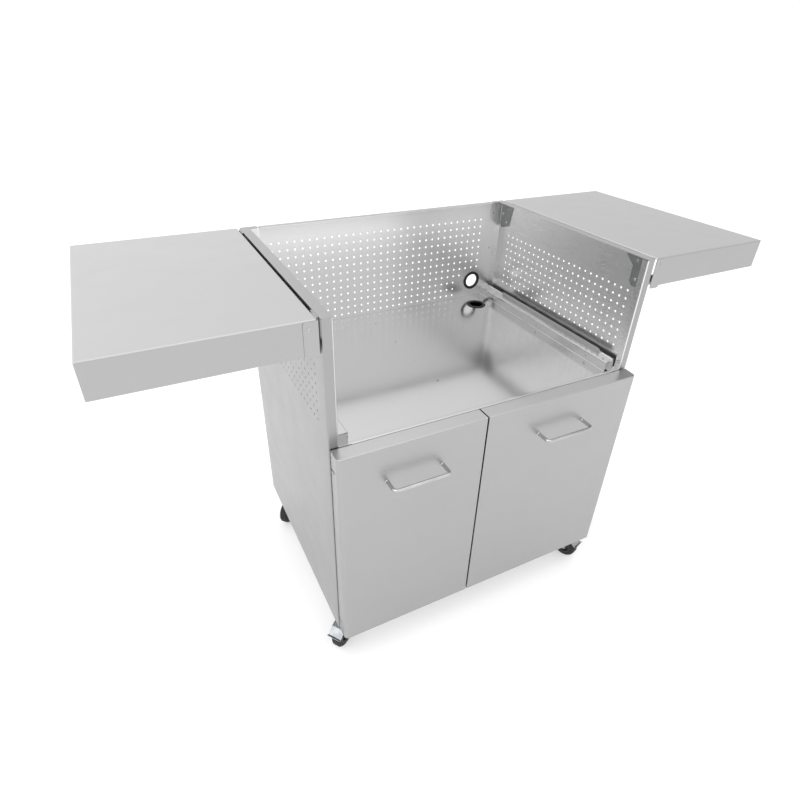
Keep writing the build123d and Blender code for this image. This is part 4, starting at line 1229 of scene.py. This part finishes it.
@dataclass
class Pull:
    """Bent wire pull with a small weld flare at each foot."""

    side: Side
    radius: float = 4 * MM
    bend: float = 10 * MM
    foot_inset: float = 5 * MM
    flare: float = 1.1 * MM
    flare_fade: float = 1 * MM
    bend_steps: int = 8
    segments: int = 24

    def path(self) -> list[tuple[Vector, Vector, float]]:
        """Points, directions and radii along the rod, from the left foot to the right."""
        low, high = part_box(f"handle_{self.side.word}")
        foot = Vector((low.x + self.foot_inset, high.y, (low.z + high.z) / 2))
        reach = high.y - low.y - self.radius - self.bend
        half = []
        for rise in (0.0, 0.5 * MM, 1 * MM, 2 * MM, 4 * MM, reach):
            flare = self.flare * exp(-rise / self.flare_fade)
            half.append((foot - Vector((0, rise, 0)), Vector((0, -1, 0)), self.radius + flare))
        centre = foot + Vector((self.bend, -reach, 0))
        for step in range(1, self.bend_steps + 1):
            angle = pi / 2 * step / self.bend_steps
            half.append((centre - self.bend * Vector((cos(angle), sin(angle), 0)),
                         Vector((sin(angle), -cos(angle), 0)), self.radius))
        return half + [(Vector((low.x + high.x - point.x, point.y, point.z)),
                        Vector((ahead.x, -ahead.y, 0)), radius)
                       for point, ahead, radius in reversed(half)]

    def build(self) -> None:
        """Make the pull."""
        up = Vector((0, 0, 1))
        path, count = self.path(), self.segments
        points = []
        for centre, ahead, radius in path:
            across = ahead.cross(up)
            for step in range(count):
                angle = 2 * pi * step / count
                points.append(centre + radius * (cos(angle) * across + sin(angle) * up))
        faces = [*tube_faces(len(path), count), range(count),
                 range(len(points) - count, len(points))]
        node = f"handle_{self.side.word}"
        place(from_lists(f"{node}_rod", points, faces), Finish.WIRE, body_of(node),
              "handle_wire", node)


@dataclass
class Shelf:
    """Side shelf: a pan open below with tight rounded edges and notches for the brackets."""

    side: Side
    edge_radius: float = 3 * MM
    notch: float = 46 * MM
    notch_depth: float = 4.2 * MM

    def build(self) -> None:
        """Make the pan, its lips darker than its top as painted light and shade, and dress what is under it."""
        node, sign = f"shelf_{self.side.word}", self.side.value
        low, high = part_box(node)
        shelf = pan(f"{node}_skin", low, high, Vector((0, 0, -1)), [
            (lambda a, b: max(a.z, b.z) > high.z - NEAR, self.edge_radius, 5)])
        inner_x = high.x if self.side is Side.LEFT else low.x
        skin = SHEET + GAP
        notches = [box_mesh("notch", (inner_x + sign * self.notch_depth, y0, low.z - CUTTER_REACH),
                            (inner_x - sign * CUTTER_REACH, y1, high.z - self.edge_radius))
                   for y0, y1 in ((low.y + skin, low.y + self.notch),
                                  (high.y - self.notch, high.y - skin))]
        evenly_shaded(cut_away(shelf, notches))
        # Painted light and shade: the top takes the lighter brushed sheet, and the lips and undersides take its
        # darker copy
        place(shelf, Finish.ACROSS, node, "stainless_sheet", node)
        dress_where(shelf, Finish.FINE, lambda normal, centre: normal.z < UPWARD)
        for part, finish in (("stiffeners", Finish.INNER), ("end_plates", Finish.FINE)):
            dress_node(f"shelf_{part}_{self.side.word}", finish, "stainless_sheet")


# ---------------------------------------------------------------- casters


@dataclass
class Caster:
    """One swivel caster: plate, fork, wheel and, at the front, its brake pedal."""

    corner: str
    wheel_radius: float = 37.5 * MM
    half_width: float = 12.5 * MM
    hub_radius: float = 24 * MM
    bore: float = 4.1 * MM
    groove: float = 0.8 * MM
    boss: float = 0.9 * MM
    edge: float = 0.3 * MM

    def tyre_profile(self) -> list[Point2]:
        """Tread section: flat middle, two grooves and rounded shoulders."""
        r, w = self.wheel_radius, self.half_width
        return rounded(both_halves([
            (-w, self.hub_radius, 0.4 * MM), (-w, r - 4 * MM, 1 * MM),
            (-w + 3.5 * MM, r, 3 * MM), (-4 * MM, r, 0.3 * MM),
            (-3.4 * MM, r - self.groove, 0.2 * MM), (-2.8 * MM, r, 0.3 * MM)]), 4)

    def hub_profile(self) -> list[Point2]:
        """Hub section: rim, dished web and a raised boss round the bore."""
        w, rim = self.half_width, self.hub_radius
        dish = -w + 5 * MM
        return rounded(both_halves([
            (-w, rim, 0.4 * MM), (-w, rim - 4 * MM, 0.6 * MM), (dish, rim - 5 * MM, 1.2 * MM),
            (dish, 11 * MM, 1.2 * MM), (-w - self.boss, 9 * MM, 1 * MM),
            (-w - self.boss, self.bore, 0.2 * MM)]), 4)

    def build(self) -> None:
        """Make the caster."""
        roll = joint(f"roll_{self.corner}")
        centre, axis = Vector(roll["pos_m"]), Vector(roll["axis"])
        node = f"caster_wheel_{self.corner}"
        for name, profile, finish, segments in (
                ("tyre", self.tyre_profile(), Finish.TYRE, 72),
                ("hub", self.hub_profile(), Finish.HUB, 48)):
            place(lathe(f"{name}_{self.corner}", profile, centre, axis, segments), finish,
                  body_of(node), "black_wheel", node)
        parts = ["caster_plate", "caster_fork"]
        if self.corner.startswith("front"):
            parts.append("brake_pedal")
        for part in parts:
            dress_node(f"{part}_{self.corner}", Finish.ZINC, "zinc_plated_steel", self.edge)


# ---------------------------------------------------------------- studio


def aimed(name: str, data: bpy.types.ID, eye: Sequence[float], look: Vector,
          roll: float = 0.0) -> Object:
    """Put a camera or a lamp in the scene.

    Args:
        name: name of the object.
        data: the camera or the light.
        eye: where it is.
        look: direction it looks in.
        roll: turn about that direction.

    Returns:
        The object.
    """
    thing = new_object(name, data)
    turn = look.to_track_quat("-Z", "Y").to_matrix().to_4x4()
    thing.matrix_world = Matrix.Translation(eye) @ turn @ Matrix.Rotation(roll, 4, "Z")
    return thing


@dataclass(frozen=True)
class SoftBox:
    """A square area light and the height of the point on the cart's axis that it aims at."""

    name: str
    place: tuple[float, float, float]
    aim_height: float
    size: float
    power: float

    def hang(self) -> None:
        """Add the light to the scene."""
        data = bpy.data.lights.new(self.name, "AREA")
        data.size = self.size
        data.energy = self.power
        aimed(self.name, data, self.place, Vector((0, 0, self.aim_height)) - Vector(self.place))


@dataclass
class Studio:
    """White floor, soft light and the camera."""

    eye: Vector = field(default_factory=lambda: Vector((-0.6776, -1.0822, 1.3452)))
    look: Vector = field(default_factory=lambda: Vector((0.39056, 0.74333, -0.54307)))
    roll: float = radians(1.676)
    lens: float = 24.88
    bright_side: Vector = field(default_factory=lambda: Vector((-0.8, 0.3, 0.5)))
    dim: float = 1.02
    bright: float = 1.62
    table_glow: float = 0.38
    table_half: float = 30.0
    boxes: tuple[SoftBox, ...] = (
        SoftBox("key", (-2.6, -1.6, 3.2), 0.6, 2.6, 22),
        SoftBox("front", (0.6, -3.4, 2.6), 0.7, 3.6, 14),
        SoftBox("top", (0.4, 0.4, 3.6), 0.6, 3.0, 16))

    def camera(self) -> None:
        """Set the camera above and in front of the cart's left corner, looking down at it."""
        data = bpy.data.cameras.new("camera")
        data.lens = self.lens
        data.sensor_width = 36.0
        data.sensor_fit = "HORIZONTAL"
        data.clip_start = 0.01
        bpy.context.scene.camera = aimed("camera", data, self.eye, self.look, self.roll)

    def floor(self) -> None:
        """Backlit pale floor, far wider than the view."""
        material, tree, shader = new_material("opal_acrylic_light_table")
        mottle = cloud_field(tree, 0.4, 2.0)
        tone = blend(tree, remap(tree, mottle, 0.0, 1.0), srgb("#D6D6D6"), srgb("#D2D2D2"))
        tree.links.new(tone, shader.inputs["Base Color"])
        for name, value in (("Roughness", 0.9), ("Emission Color", srgb("#FFFFFF")),
                            ("Emission Strength", self.table_glow), ("Specular IOR Level", 0.1)):
            shader.inputs[name].default_value = value
        corners = [(x * self.table_half, y * self.table_half, 0)
                   for x, y in ((-1, -1), (1, -1), (1, 1), (-1, 1))]
        plane = from_lists("studio_floor", corners, [(0, 1, 2, 3)])
        plane.data.materials.append(material)

    def world(self) -> None:
        """White surroundings, brightest towards one side."""
        world = bpy.data.worlds.new("studio")
        world.use_nodes = True
        tree = world.node_tree
        tree.nodes.clear()
        where = add(tree, "ShaderNodeTexCoord").outputs["Generated"]
        toward = add(tree, "ShaderNodeVectorMath", {0: where, 1: self.bright_side.normalized()},
                     operation="DOT_PRODUCT")
        strength = remap(tree, toward.outputs["Value"], self.dim, self.bright, -0.2, 1.0)
        background = add(tree, "ShaderNodeBackground", {"Color": srgb("#FFFFFF"),
                                                        "Strength": strength})
        add(tree, "ShaderNodeOutputWorld", {0: background.outputs[0]})
        bpy.context.scene.world = world

    def build(self) -> None:
        """Make the studio."""
        self.world()
        self.floor()
        self.camera()
        for box in self.boxes:
            box.hang()
        bpy.context.scene.view_settings.view_transform = "Standard"


# ---------------------------------------------------------------- the whole cart


def main() -> None:
    """Build every sub-assembly in order."""
    logging.basicConfig(level=logging.INFO, format="%(message)s")
    Studio().build()
    carcass = Carcass()
    SidePanel(carcass).build()
    BackPanel(carcass).build()
    Grommet("grommet_back", "back_grommet", (0, -1, 0)).build()
    Grommet("grommet_floor", "floor_grommet", (0, 0, 1)).build()
    Tray(carcass).build()
    for node, finish in (("lower_back_panel", Finish.FINE), ("front_header", Finish.ACROSS),
                         ("griddle_stops", Finish.ACROSS), ("well_rail_left", Finish.MILL_DEEP),
                         ("well_rail_right", Finish.MILL_DEEP),
                         ("centre_divider", Finish.MILL_DEEP), ("backing_plates", Finish.PLATE),
                         ("shelf_brackets", Finish.DEEP), ("cabinet_floor", Finish.INNER)):
        dress_node(node, finish, "stainless_sheet")
    dress_node("door_hinge_plates", Finish.ZINC, "zinc_plated_steel", FINE_EDGE)
    dress_node("magnet_catches", Finish.CATCH, "catch_plastic", 0.8 * MM)
    Fasteners("body_rivets", "cabinet", Head.RIVET, 3.2 * MM, 1 * MM).build()
    Fasteners("backing_bolts", "cabinet", Head.SOCKET, 4.5 * MM, 2.5 * MM).build()
    for side in Side:
        Door(side).build()
        Pull(side).build()
        Shelf(side).build()
        Fasteners(f"shelf_end_screws_{side.word}", f"shelf_{side.word}", Head.SOCKET,
                  4.5 * MM, 1 * MM).build()
        for part in ("handle_screws", "pivot_blocks", "pivot_pins", "strike_plate",
                     "shelf_pivots"):
            dress_node(f"{part}_{side.word}", Finish.ZINC, "fasteners", FINE_EDGE)
    for corner in ("front_left", "front_right", "rear_left", "rear_right"):
        Caster(corner).build()


if __name__ == "__main__":
    main()
